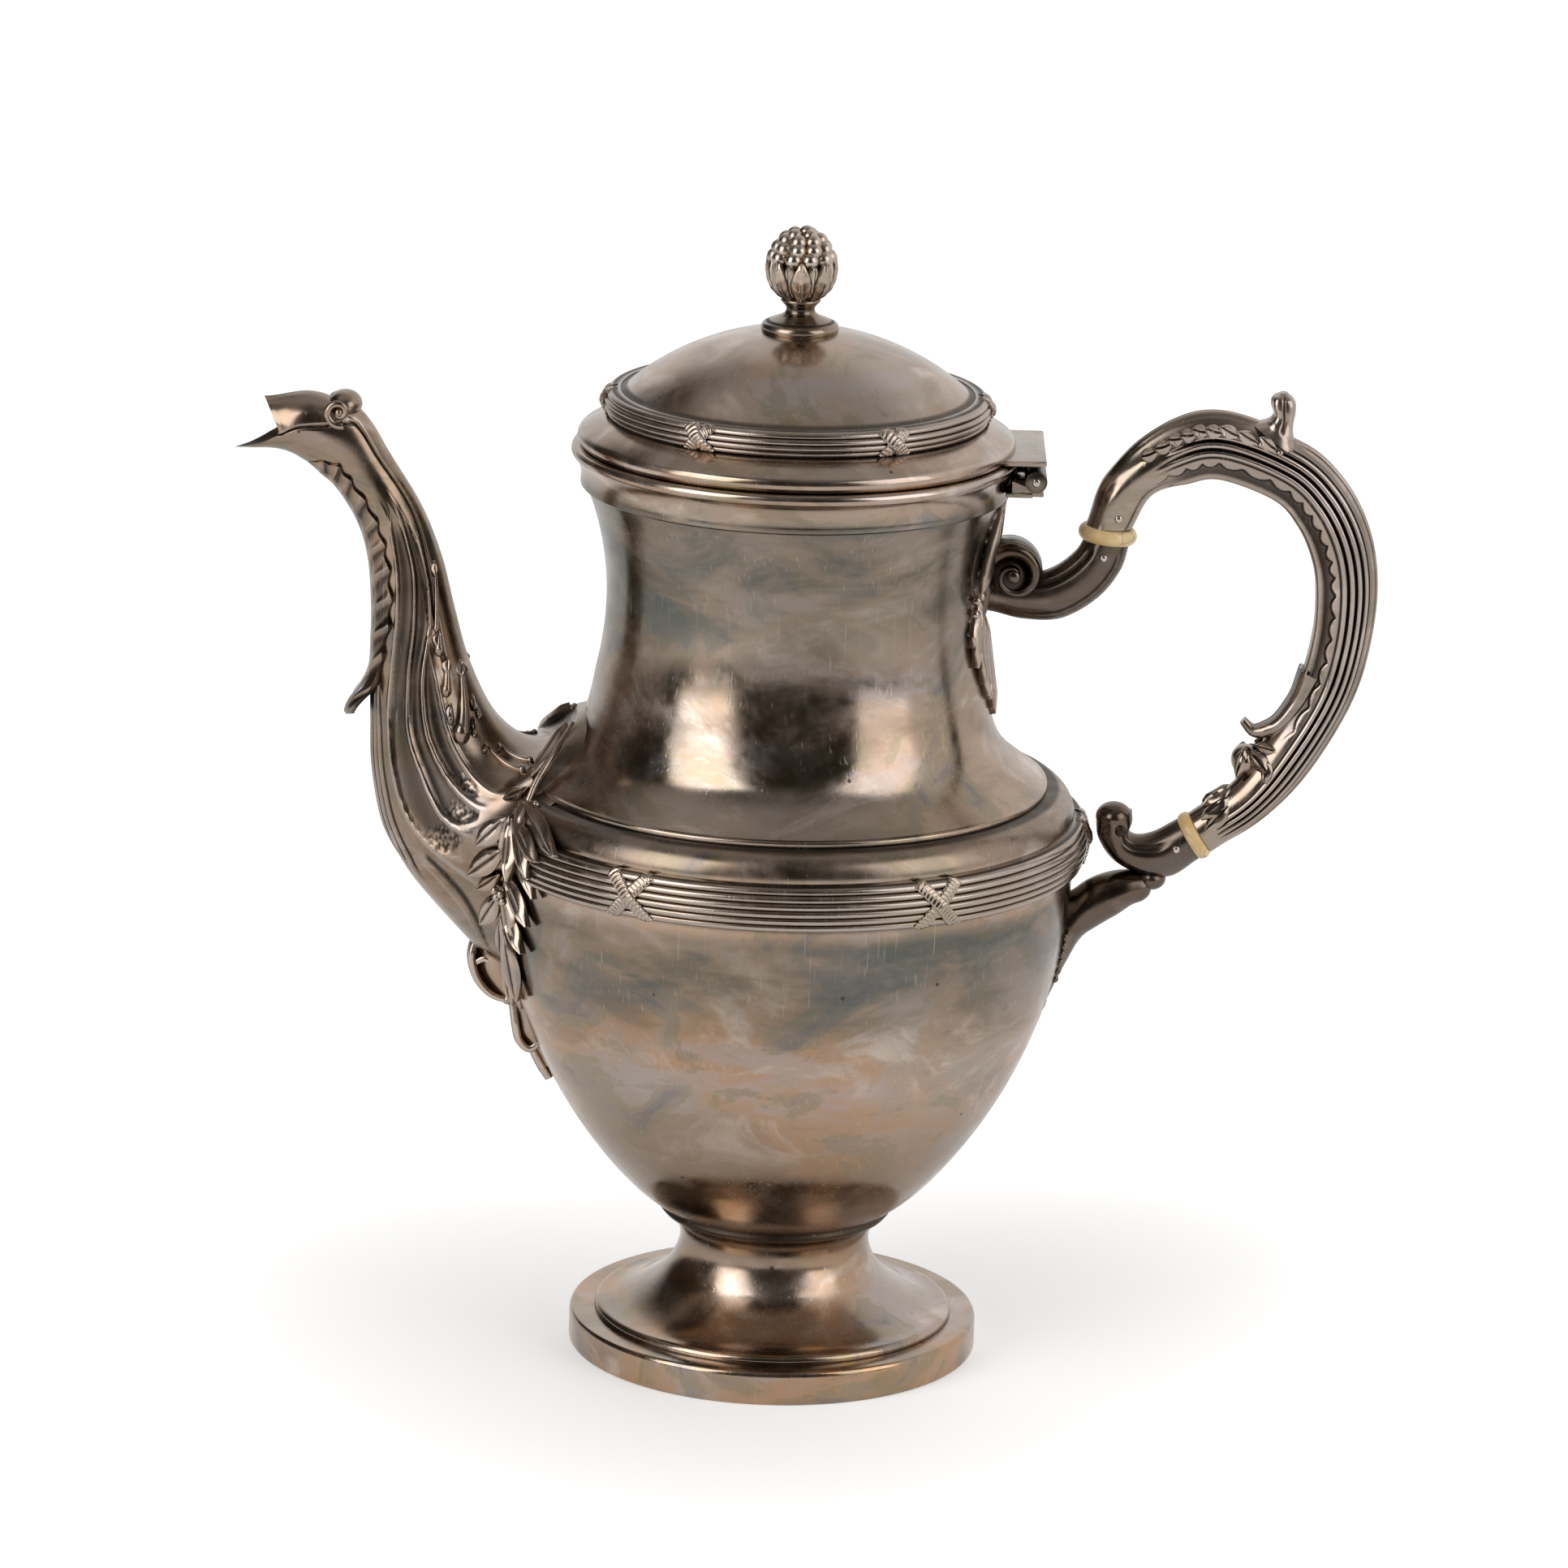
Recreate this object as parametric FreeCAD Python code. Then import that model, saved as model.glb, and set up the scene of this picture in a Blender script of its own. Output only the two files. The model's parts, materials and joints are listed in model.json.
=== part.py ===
import FreeCAD, Part
import math
import os

V = FreeCAD.Vector
origin = V(0, 0, 0)
up = V(0, 0, 1)
cross = V(0, 1, 0)

# sheet and fits, millimetres
wall = 1.0            # rolled sheet of the vessel
cast_wall = 1.4       # cast spout and grip
lid_gap = 0.3         # lid above the rim
bezel_gap = 0.9       # sleeve inside the mouth
pin_play = 0.05       # hinge pin inside the lid knuckle
knuckle_gap = 0.3     # between neighbouring knuckles

# foot
foot_radius = 45.0
foot_rim_height = 7.4
foot_base_width = 3.2
skirt_radius = 39.6
skirt_roll = 1.8
stem_radius = 20.9
stem_rise = 17.6      # narrowest place above the foot rim
cup_radius = 25.6
cup_rise = 6.2        # above the narrowest place

# bowl
bowl_sink = 0.3       # lowest point of the bowl below the narrowest place of the stem
bowl_radius = 62.8
bowl_side_arc = 107.7
bowl_bottom_arc = 46.9
band_height = 9.8
band_bulge = 1.7
band_reeds = 6
band_gap_turn = 31.0  # degrees left open to each side of the spout
shoulder_height = 6.4
shoulder_radius = 58.5
bowl_mouth_radius = 51.5

# neck and mouth
neck_edge = 1.2
neck_points = ((56.2, 1.2), (47.0, 9.2), (42.0, 25.2), (40.3, 43.2), (43.4, 60.5), (45.2, 65.4))
collar_height = 8.8
collar_foot = 1.2     # how far the collar stands out at its foot
collar_lip = 3.1      # how far the collar stands out at its lip

# lid
flange_radius = 47.2
flange_edge = 3.0
flange_slope = 3.0
bezel_depth = 7.0
bezel_wall = 1.0
lid_band_radius = 38.5
lid_band_height = 5.6
lid_band_bulge = 1.6
lid_band_reeds = 4
dome_radius = 37.3
dome_rise = 14.1

# reeds and crossed ribbons
reed_rise = 0.8
ribbon_width = 2.8
ribbon_thickness = 0.8
ribbon_angle = 42.0
ribbon_turn = 60.0    # degrees between crossings

# finial
finial_base_radius = 8.4
finial_base_height = 2.6
finial_waist = 3.0
finial_waist_rise = 4.2
finial_seat_radius = 4.2
finial_seat_rise = 6.0
bud_height = 14.6
bud_radius = 6.5
leaf_sheet = 0.8
berry_radius = 1.5
stud_radius = 1.5
stud_drop = 7.0       # stud below the top of the dome
nut_radius = 3.4
nut_height = 2.4

# hinge
hinge_offset = 3.1    # pin beyond the rim lip
hinge_drop = 3.2      # pin below the rim
knuckle_radius = 2.5
hinge_pin_radius = 1.0
hinge_width = 31.0
lid_knuckle_width = 13.0
leaf_plate = 1.3

# spout: outer edge out and up, inner edge out and up, half depth; all from the bowl's widest level
spout_rows = (
    (-14.0, -29.0, -38.0, 31.0, 23.0),
    (-1.0, -27.0, -25.5, 33.5, 23.0),
    (16.4, -10.3, -18.0, 31.2, 21.5),
    (24.1, 2.4, -12.6, 24.4, 18.5),
    (27.2, 15.9, -6.3, 23.4, 15.0),
    (27.7, 28.4, 1.2, 29.4, 12.0),
    (27.9, 40.9, 6.9, 40.9, 9.8),
    (27.8, 52.4, 10.2, 52.4, 8.3),
    (28.7, 63.4, 13.2, 63.9, 7.2),
    (31.1, 71.4, 17.7, 74.9, 6.4),
    (35.4, 78.4, 24.5, 85.9, 6.1),
    (39.2, 81.9, 30.2, 94.7, 6.2),
    (44.8, 85.3, 37.7, 98.5, 6.3),
    (49.7, 86.4, 46.7, 98.3, 5.9),
    (53.7, 86.5, 53.2, 98.0, 5.4),
)
flute_depth = 1.0
flute_places = (62.0, 96.0)   # degrees round the section from its outer edge
flute_half_turn = 15.0
first_fluted_row = 3
last_fluted_row = 9
beak_tip = (52.1, 98.2)
mouth_corner = (48.9, 91.1)
lip_rows = ((46.7, 86.0, 92.6, 5.9), (52.5, 86.3, 90.8, 4.6), (58.5, 86.5, 87.7, 1.6))
throat_rows = ((49.5, 88.0, 97.0, 4.2), (61.0, 88.3, 97.5, 2.8))
ear_place = (34.0, 98.5)
ear_radius = 3.1
ear_half_width = 4.0
strainer_drop = 14.0  # middle of the strainer below the bowl's widest level
strainer_hole = 1.5
strainer_pitch = 5.2
strainer_rings = 2

# handle, out from the axis and up from the bowl's widest level: outer edge, inner edge, half depth
upper_ring = (67.7, 73.0)
upper_ring_lean = 6.0         # degrees the ring axis leans outward
upper_ring_radius = 6.4
lower_ring = (89.1, 5.9)
lower_ring_lean = 58.5
lower_ring_radius = 5.6
ring_thickness = 3.2
spigot_radius = 3.0
spigot_length = 6.5
cross_pin_radius = 0.8
cross_pin_head = 1.25
cross_pin_place = 3.2         # from the face of the ring
end_half_width = 5.0
grip_rows = (
    (67.2, 86.6, 77.0, 81.8, 5.4),
    (79.9, 97.6, 84.5, 84.7, 5.8),
    (92.0, 100.3, 91.5, 85.8, 6.0),
    (108.5, 94.4, 103.0, 81.7, 6.0),
    (117.9, 86.5, 108.3, 76.2, 6.0),
    (124.2, 75.9, 111.6, 69.4, 6.0),
    (126.6, 63.4, 113.0, 62.4, 6.0),
    (125.5, 48.9, 112.8, 51.9, 5.9),
    (121.4, 36.0, 110.0, 40.4, 5.8),
    (113.2, 21.1, 103.5, 28.4, 5.6),
    (104.5, 11.1, 97.2, 18.4, 5.3),
)
grip_reeds = (-36.0, -12.0, 12.0, 36.0)
grip_reed_half_turn = 10.0
grip_reed_depth = 0.7
thumb_place = (104.0, 101.8)
thumb_radius = 3.5
thumb_half_width = 3.6
bud_place = (99.6, 23.8)
curl_place = (101.0, 31.7)
curl_radius = 2.2
curl_half_width = 4.0
curl_web = ((101.0, 31.7), (104.0, 26.4), (112.0, 37.4), (103.0, 33.9))
bud_size = 3.2
upper_socket_rows = (
    (58.5, 66.7, 68.6, 61.4, 5.2),
    (53.5, 64.3, 58.5, 53.9, 5.0),
    (46.0, 63.9, 47.0, 54.2, 4.5),
    (34.0, 64.4, 34.0, 55.4, 4.0),
)
volute_place = (47.6, 64.2)
volute_radius = 7.0
volute_half_width = 5.4
lower_socket_rows = (
    (80.5, 6.4, 84.0, -3.7, 5.0),
    (76.6, 5.6, 76.6, -2.3, 4.6),
    (73.6, 6.6, 70.6, 1.0, 4.2),
    (72.6, 8.4, 68.4, 5.8, 3.8),
)
scroll_place = (72.2, 7.4)
scroll_radius = 4.2
scroll_half_width = 4.6
bracket_rows = (
    (46.0, -13.6, 44.0, -30.6, 7.0),
    (61.0, -8.6, 59.6, -30.6, 6.6),
    (66.3, -5.2, 64.4, -18.8, 6.0),
    (72.4, -3.0, 71.6, -12.8, 5.0),
    (76.8, -3.0, 76.2, -8.2, 3.8),
)
knob_place = (78.5, -5.4)
knob_radius = 3.4
mount_sheet = 1.4

# levels worked out from the sizes above
bowl_base = foot_rim_height + stem_rise - bowl_sink
bowl_side_in = bowl_side_arc - bowl_radius
z_bottom_arc = bowl_base + bowl_bottom_arc
z_wide = z_bottom_arc + math.sqrt((bowl_side_arc - bowl_bottom_arc) ** 2 - bowl_side_in ** 2)
z_band_top = z_wide + band_height
z_shoulder = z_band_top + shoulder_height
z_collar = z_shoulder + neck_points[-1][1]
z_rim = z_collar + collar_height
z_flange = z_rim + lid_gap
z_lid_band = z_flange + flange_edge + flange_slope
z_dome = z_lid_band + lid_band_height
z_top = z_dome + dome_rise
mouth_radius = neck_points[-1][0]
hinge_x = mouth_radius + collar_lip + hinge_offset
hinge_z = z_rim - hinge_drop
bud_base = z_top + finial_seat_rise


def at(r, z):
    return V(r, 0, z)


def spline(points, start=None, end=None):
    curve = Part.BSplineCurve()
    if start:
        curve.interpolate(Points=points, InitialTangent=start, FinalTangent=end)
    else:
        curve.interpolate(points)
    return curve


def beside(curve, gap, steps=12):
    # the same profile moved sideways, outward for a positive gap
    points = []
    span = curve.LastParameter - curve.FirstParameter
    for i in range(steps + 1):
        t = curve.FirstParameter + span * i / steps
        run = curve.tangent(t)[0]
        points.append(curve.value(t) + V(run.z, 0, -run.x) * gap)
    return spline(points)


def side_point(place):
    # a point of the handle's middle plane, from its distance out and its rise
    return at(place[0], z_wide + place[1])


def path(points):
    return [Part.makeLine(a, b) for a, b in zip(points, points[1:])]


def arc(a, b, c):
    return Part.Arc(a, b, c).toShape()


def turned(edges):
    wire = Part.Wire(Part.__sortEdges__(edges))
    return Part.Face(wire).revolve(origin, up, 360)


def turned_points(*points):
    corners = [at(r, z) for r, z in points]
    return turned(path(corners + corners[:1]))


def rod(place, axis, radius, length):
    # a round bar centred on its place
    return Part.makeCylinder(radius, length, place - axis * (length / 2), axis)


def plate(points, half_width):
    # an outline seen from the side, thickened both ways
    corners = [V(x, -half_width, z) for x, z in points]
    face = Part.Face(Part.makePolygon(corners + corners[:1]))
    return face.extrude(V(0, 2 * half_width, 0))


def section(outer, inner, half_depth, dip=None, steps=48):
    # a closed oval between two edge points; dip gives how far it sinks at each angle
    middle = (outer + inner) * 0.5
    reach = (outer - inner).Length / 2
    side = (outer - inner).normalize()
    points = []
    for i in range(steps):
        turn = 360.0 * i / steps
        sink = dip(turn) if dip else 0.0
        across = (reach - sink) * math.cos(math.radians(turn))
        along = (half_depth - sink) * math.sin(math.radians(turn))
        points.append(middle + side * across + cross * along)
    curve = Part.BSplineCurve()
    curve.interpolate(Points=points, PeriodicFlag=True)
    return Part.Wire(curve.toShape())


def loft(wires):
    return Part.makeLoft(wires, True, False)


def grooves(places, half_turn, depth):
    # round-bottomed grooves at the stated angles, the same on both sides
    def sink(turn):
        turn = abs((turn + 180.0) % 360.0 - 180.0)
        total = 0.0
        for place in places:
            off = abs(turn - abs(place)) / half_turn
            if off < 1.0 and place >= 0:
                total = total + depth * (0.5 + 0.5 * math.cos(math.pi * off))
        return total
    return sink


def bowl_side(inset):
    # the long arc of the bowl's side, from the widest level down to the bottom arc
    size = bowl_side_arc - inset
    bend = math.asin((z_wide - z_bottom_arc) / (bowl_side_arc - bowl_bottom_arc))
    middle = at(-bowl_side_in, z_wide)
    spots = [middle + at(math.cos(bend * t), -math.sin(bend * t)) * size for t in (1.0, 0.5, 0.0)]
    return Part.Arc(*spots)


def bowl_bottom(inset):
    size = bowl_bottom_arc - inset
    bend = math.asin((z_wide - z_bottom_arc) / (bowl_side_arc - bowl_bottom_arc))
    turns = (math.pi / 2, (math.pi / 2 + bend) / 2, bend)
    spots = [at(0, z_bottom_arc) + at(math.cos(t), -math.sin(t)) * size for t in turns]
    return Part.Arc(*spots)


def bowl_profile(inset):
    return [bowl_bottom(inset).toShape(), bowl_side(inset).toShape()]


def neck_profile():
    return spline([at(r, z_shoulder + rise) for r, rise in neck_points])


def shoulder_edge(inset):
    a = at(bowl_radius - inset, z_band_top)
    c = at(shoulder_radius - inset, z_shoulder - inset)
    swell = (a + c) * 0.5 + V(1.1, 0, 0.8)
    return arc(a, swell, c)


def vessel_envelope():
    # everything inside the outer skin of bowl and neck
    neck = neck_profile()
    edges = bowl_profile(0.0) + [shoulder_edge(0.0), neck.toShape()]
    edges += path([at(bowl_radius, z_wide), at(bowl_radius, z_band_top)])
    foot = neck.value(neck.FirstParameter)
    edges += path([at(shoulder_radius, z_shoulder), at(foot.x, z_shoulder), foot])
    edges += path([at(mouth_radius, z_collar), at(mouth_radius, z_rim), at(0, z_rim), at(0, bowl_base)])
    return turned(edges)


def foot_rim():
    inner = foot_radius - foot_base_width
    edge = 0.8
    ledge = skirt_radius - 4.0
    edges = path([
        at(foot_radius - edge, foot_rim_height), at(ledge, foot_rim_height),
        at(ledge, foot_rim_height - wall), at(inner, foot_rim_height - wall),
        at(inner, 0), at(foot_radius, 0), at(foot_radius, foot_rim_height - edge),
    ])
    bend = edge * (1 - math.sqrt(0.5))
    edges.append(arc(
        at(foot_radius, foot_rim_height - edge),
        at(foot_radius - bend, foot_rim_height - bend),
        at(foot_radius - edge, foot_rim_height),
    ))
    return turned(edges)


def foot_pedestal(envelope):
    z_skirt = foot_rim_height + skirt_roll
    z_stem = foot_rim_height + stem_rise
    z_cup = z_stem + cup_rise
    sweep = spline([
        at(skirt_radius - skirt_roll, z_skirt), at(stem_radius * 1.38, z_skirt + stem_rise * 0.2),
        at(stem_radius, z_stem), at(cup_radius, z_cup),
    ], V(-1, 0, 0.12), V(0.75, 0, 0.65))
    inside = beside(sweep, -wall)
    head = inside.value(inside.LastParameter)
    tail = inside.value(inside.FirstParameter)
    roll = arc(
        at(skirt_radius - skirt_roll, z_skirt),
        at(skirt_radius - skirt_roll * 0.3, foot_rim_height + skirt_roll * 0.7),
        at(skirt_radius, foot_rim_height),
    )
    edges = [sweep.toShape(), inside.toShape(), roll]
    top = z_cup + 4.0
    edges += path([at(cup_radius, z_cup), at(cup_radius, top), at(head.x, top), head])
    edges += path([at(skirt_radius, foot_rim_height), at(tail.x, foot_rim_height), tail])
    return turned(edges).cut(envelope)


def strainer_holes():
    holes = []
    for ring in range(strainer_rings + 1):
        count = max(1, 6 * ring)
        for i in range(count):
            turn = 2 * math.pi * i / count
            place = V(-bowl_radius, ring * strainer_pitch * math.cos(turn),
                      z_wide - strainer_drop + ring * strainer_pitch * math.sin(turn))
            holes.append(rod(place, V(1, 0, 0), strainer_hole, bowl_radius))
    return holes


def bowl():
    edges = bowl_profile(0.0) + bowl_profile(wall) + [shoulder_edge(0.0), shoulder_edge(wall)]
    edges += path([at(bowl_radius, z_wide), at(bowl_radius, z_band_top)])
    edges += path([
        at(shoulder_radius, z_shoulder), at(bowl_mouth_radius, z_shoulder),
        at(bowl_mouth_radius, z_shoulder - wall), at(shoulder_radius - wall, z_shoulder - wall),
    ])
    edges += path([at(bowl_radius - wall, z_band_top), at(bowl_radius - wall, z_wide)])
    edges += path([at(0, bowl_base), at(0, bowl_base + wall)])
    return turned(edges).cut(strainer_holes())


def neck():
    outside = neck_profile()
    inside = beside(outside, -wall)
    low = inside.value(inside.FirstParameter)
    high = inside.value(inside.LastParameter)
    foot = outside.value(outside.FirstParameter)
    edges = [outside.toShape(), inside.toShape()]
    edges += path([at(mouth_radius, z_collar), at(mouth_radius, z_rim), at(high.x, z_rim), high])
    edges += path([low, at(low.x - wall, z_shoulder), at(foot.x, z_shoulder), foot])
    return turned(edges)


def mouth_collar():
    foot = mouth_radius + collar_foot
    lip = mouth_radius + collar_lip
    step = 1.0
    z_lip = z_rim - 2.0
    edges = path([
        at(mouth_radius, z_rim), at(mouth_radius, z_collar), at(foot, z_collar), at(foot, z_collar + step),
    ])
    edges.append(arc(
        at(foot, z_collar + step), at(foot + (lip - foot) * 0.25, (z_collar + step + z_lip) / 2 + 0.8),
        at(lip, z_lip),
    ))
    edges.append(arc(at(lip, z_lip), at(lip + 0.2, z_rim - 1.0), at(lip - 0.5, z_rim)))
    edges += path([at(lip - 0.5, z_rim), at(mouth_radius, z_rim)])
    return turned(edges)


def reeded_edge(seat, base, height, bulge, reeds, rise):
    # a swelling outline broken into half-round reeds
    def swell(share):
        return seat + reed_rise + bulge * math.sin(math.pi * (0.1 + 0.8 * share))
    edges = []
    for i in range(reeds):
        low, high = i / reeds, (i + 1) / reeds
        mid = (low + high) / 2
        edges.append(arc(
            at(swell(low) + rise, base + height * low),
            at(swell(mid) + rise + reed_rise, base + height * mid),
            at(swell(high) + rise, base + height * high),
        ))
    return edges


def reeded_band(seat, base, height, bulge, reeds):
    edges = reeded_edge(seat, base, height, bulge, reeds, 0.0)
    start = edges[0].Vertexes[0].Point
    finish = edges[-1].Vertexes[1].Point
    edges += path([start, at(seat, base), at(seat, base + height), finish])
    return turned(edges)


def belly_band():
    # the reeded band, open where the spout and the leaves beside it are
    far = 2 * bowl_radius
    spread = far * math.tan(math.radians(band_gap_turn))
    corners = [V(0, 0, 0), V(-far, -spread, 0), V(-far, spread, 0), V(0, 0, 0)]
    gap = Part.Face(Part.makePolygon(corners)).extrude(up * (2 * z_wide))
    return reeded_band(bowl_radius, z_wide, band_height, band_bulge, band_reeds).cut(gap)


def crossed_ribbons(seat, base, height, bulge, reeds, skip):
    # two straps crossing at each place, following the band, one solid for each crossing
    edges = reeded_edge(seat, base, height, bulge, 1, ribbon_thickness)
    start = edges[0].Vertexes[0].Point
    finish = edges[-1].Vertexes[1].Point
    edges += path([start, at(seat + reed_rise, base), at(seat + reed_rise, base + height), finish])
    skin = turned(edges).cut(reeded_band(seat, base, height, bulge, reeds))
    straps = []
    for lean in (-ribbon_angle, ribbon_angle):
        strap = Part.makeBox(seat, ribbon_width, height * 4, V(seat / 2, -ribbon_width / 2, -height * 2))
        strap.rotate(origin, V(1, 0, 0), lean)
        strap.translate(V(0, 0, base + height / 2))
        straps.append(strap)
    pair = straps[0].fuse(straps[1])
    ties = []
    for i in range(int(360 / ribbon_turn)):
        turn = i * ribbon_turn
        if turn in skip:
            continue
        tie = pair.copy()
        tie.rotate(origin, up, turn)
        ties += skin.common(tie).Solids
    return ties


def spout_edge(out, rise):
    return V(-bowl_radius - out, 0, z_wide + rise)


def spout_skin():
    wires = []
    for i, (out, rise, out_in, rise_in, half) in enumerate(spout_rows):
        fluted = first_fluted_row <= i <= last_fluted_row
        share = (i - first_fluted_row + 1) / (last_fluted_row - first_fluted_row + 2)
        depth = flute_depth * math.sin(math.pi * share)
        dip = grooves(flute_places, flute_half_turn, depth) if fluted else None
        wires.append(section(spout_edge(out, rise), spout_edge(out_in, rise_in), half, dip))
    low, high, far = mouth_corner[1] - 12.0, beak_tip[1] + 12.0, beak_tip[0] + 30.0
    hood = [beak_tip, mouth_corner, (mouth_corner[0], low), (far, low), (far, high), (beak_tip[0], high)]
    clear = plate([(-bowl_radius - out, z_wide + rise) for out, rise in hood], bowl_radius)
    skin = loft(wires).cut(clear)
    lip = loft([
        section(spout_edge(out, low), spout_edge(out, high), half) for out, low, high, half in lip_rows
    ])
    ear = rod(spout_edge(*ear_place), cross, ear_radius, 2 * ear_half_width)
    return skin.fuse([lip, ear])


def spout_channel():
    wires = []
    for out, rise, out_in, rise_in, half in spout_rows[:-2]:
        outer, inner = spout_edge(out, rise), spout_edge(out_in, rise_in)
        inset = (inner - outer).normalize() * (cast_wall + flute_depth * 0.4)
        wires.append(section(outer + inset, inner - inset, half - cast_wall))
    for out, low, high, half in throat_rows:
        wires.append(section(spout_edge(out, low), spout_edge(out, high), half))
    return loft(wires)


def leaf_blade(base, tip, normal, half_width, thickness):
    # a pointed leaf between two arcs, lying flat across its normal
    run = tip - base
    side = normal.cross(run).normalize() * half_width
    middle = base + run * 0.45
    outline = Part.Wire([arc(base, middle + side, tip), arc(tip, middle - side, base)])
    blade = Part.Face(outline).extrude(normal.normalize() * thickness)
    blade.translate(normal * (-thickness / 2))
    return blade


def on_bowl(turn, z, lift):
    # a point on the skin of the bowl, turned from the spout side
    drop = max(0.0, z_wide - z)
    radius = math.sqrt(bowl_side_arc ** 2 - drop ** 2) - bowl_side_in
    turn = math.radians(turn)
    return V(-(radius + lift) * math.cos(turn), -(radius + lift) * math.sin(turn), z)


def laurel_spray(envelope, skin):
    # a stem along the joint of spout and bowl with leaves to both sides
    heights = (5.4, -2.6, -11.6, -20.6, -30.6, -40.6)
    turns = (21.5, 22.5, 21.5, 18.0, 12.5, 8.0)
    points = [on_bowl(turn, z_wide + rise, 0.6) for turn, rise in zip(turns, heights)]
    stem_path = Part.Wire(spline(points).toShape())
    ring = Part.Wire(Part.makeCircle(1.1, points[0], points[1] - points[0]))
    pieces = [stem_path.makePipeShell([ring], True, True)]
    for i, point in enumerate(points[:5]):
        outward = V(point.x, point.y, 0).normalize()
        along = outward.cross(up)
        size = 11.0 - i
        tip = point - along * (size * 0.8) - up * (size * 0.55)
        pieces.append(leaf_blade(point, tip, outward, 2.0, 4.6))
        away = (outward * 0.8 + along * 0.6).normalize()
        if i < 3:
            pieces.append(leaf_blade(point, point + away * (size * 0.75) - up * (size * 0.5),
                                     along * -1 + outward * 0.6, 1.9, 3.4))
    spray = pieces[0].fuse(pieces[1:]).cut([envelope, skin])
    return max(spray.Solids, key=lambda solid: solid.Volume)


def laurel_sprays(envelope, skin):
    near = laurel_spray(envelope, skin)
    return [near, near.mirror(origin, cross)]


def ribbon_bow(envelope, skin):
    # a looped ribbon hanging below the root of the spout, with one tail on the bowl
    loop = [
        (-1.0, -24.0), (4.4, -23.2), (6.2, -28.6), (2.0, -35.2), (-3.4, -37.6), (-4.6, -44.0),
        (-7.4, -48.2), (-10.4, -50.0), (-12.5, -54.2), (-16.0, -52.0), (-12.0, -40.0), (-10.0, -30.0),
    ]
    points = [V(-bowl_radius - out, 0, z_wide + rise) for out, rise in loop]
    curve = Part.BSplineCurve()
    curve.interpolate(Points=points, PeriodicFlag=True)
    face = Part.Face(Part.Wire(curve.toShape()))
    width = 9.0
    bow = face.extrude(V(0, width, 0))
    bow.translate(V(0, -width / 2, 0))
    bow = bow.cut(envelope).cut(skin)
    return max(bow.Solids, key=lambda solid: solid.Volume)


def spout_leaf(skin):
    # the long leaf down the front of the spout, its tip curling away
    wires = []
    for row in (9, 8, 7, 6, 5):
        out, rise = spout_rows[row][0], spout_rows[row][1]
        half = (2.2, 3.4, 4.2, 3.8, 2.4)[9 - row]
        lift = (0.6, 1.2, 1.3, 1.8, 5.4)[9 - row]
        wires.append(section(spout_edge(out + lift, rise), spout_edge(out - 2.4 + lift * 0.3, rise), half))
    return loft(wires).cut(skin)


def ring_frame(place, lean):
    lean = math.radians(lean)
    return side_point(place), V(math.sin(lean), 0, math.cos(lean))


def ring_end(place, lean, gap, side):
    # the two edge points of the section that meets a ring
    middle, axis = ring_frame(place, lean)
    across = V(axis.z, 0, -axis.x)
    middle = middle + axis * gap
    return middle - across * end_half_width * side, middle + across * end_half_width * side


def insulator(place, lean, radius):
    # an ivory collar with a rounded rim and a spigot on each face
    middle, axis = ring_frame(place, lean)
    half = ring_thickness / 2
    rim = radius - half * 0.6
    edges = path([at(rim, half), at(spigot_radius, half), at(spigot_radius, half + spigot_length)])
    end = half + spigot_length
    edges += path([at(spigot_radius, end), at(0, end), at(0, -end), at(spigot_radius, -end)])
    edges += path([at(spigot_radius, -end), at(spigot_radius, -half), at(rim, -half)])
    edges.append(arc(at(rim, -half), at(radius, 0), at(rim, half)))
    piece = turned(edges)
    piece.rotate(origin, cross, lean)
    piece.translate(middle)
    return piece


def cross_pin(place, lean, gap):
    middle, axis = ring_frame(place, lean)
    middle = middle + axis * gap
    reach = end_half_width - 0.1
    shank = rod(middle, cross, cross_pin_radius, 2 * reach)
    heads = [Part.makeSphere(cross_pin_head, middle + cross * (reach * s)) for s in (-0.92, 0.92)]
    return shank.fuse(heads).removeSplitter()


def cross_pins():
    gap = ring_thickness / 2 + cross_pin_place
    pins = []
    for place, lean in ((upper_ring, upper_ring_lean), (lower_ring, lower_ring_lean)):
        pins += [cross_pin(place, lean, gap), cross_pin(place, lean, -gap)]
    return pins


def row_section(row, dip=None, inset=0.0):
    x_out, z_out, x_in, z_in, half = row
    outer, inner = side_point((x_out, z_out)), side_point((x_in, z_in))
    pull = (inner - outer).normalize() * inset
    return section(outer + pull, inner - pull, half - inset, dip)


def handle_grip():
    half = ring_thickness / 2
    first = ring_end(upper_ring, upper_ring_lean, half, 1.0)
    last = ring_end(lower_ring, lower_ring_lean, half, -1.0)
    dip = grooves([g for g in grip_reeds if g > 0], grip_reed_half_turn, grip_reed_depth)
    wires = [section(first[0], first[1], end_half_width)]
    wires += [row_section(row, dip) for row in grip_rows]
    wires.append(section(last[0], last[1], end_half_width))
    hollow = loft([row_section(row, None, cast_wall + grip_reed_depth) for row in grip_rows])
    grip = loft(wires)
    thumb = rod(side_point(thumb_place), cross, thumb_radius, 2 * thumb_half_width)
    bud = Part.makeSphere(bud_size, side_point(bud_place))
    curl = rod(side_point(curl_place), cross, curl_radius, 2 * curl_half_width)
    web = plate([(x, z_wide + rise) for x, rise in curl_web], curl_half_width * 0.9)
    grip = grip.fuse([thumb, bud, curl, web]).cut(hollow)
    return max(grip.Solids, key=lambda solid: solid.Volume)


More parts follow.
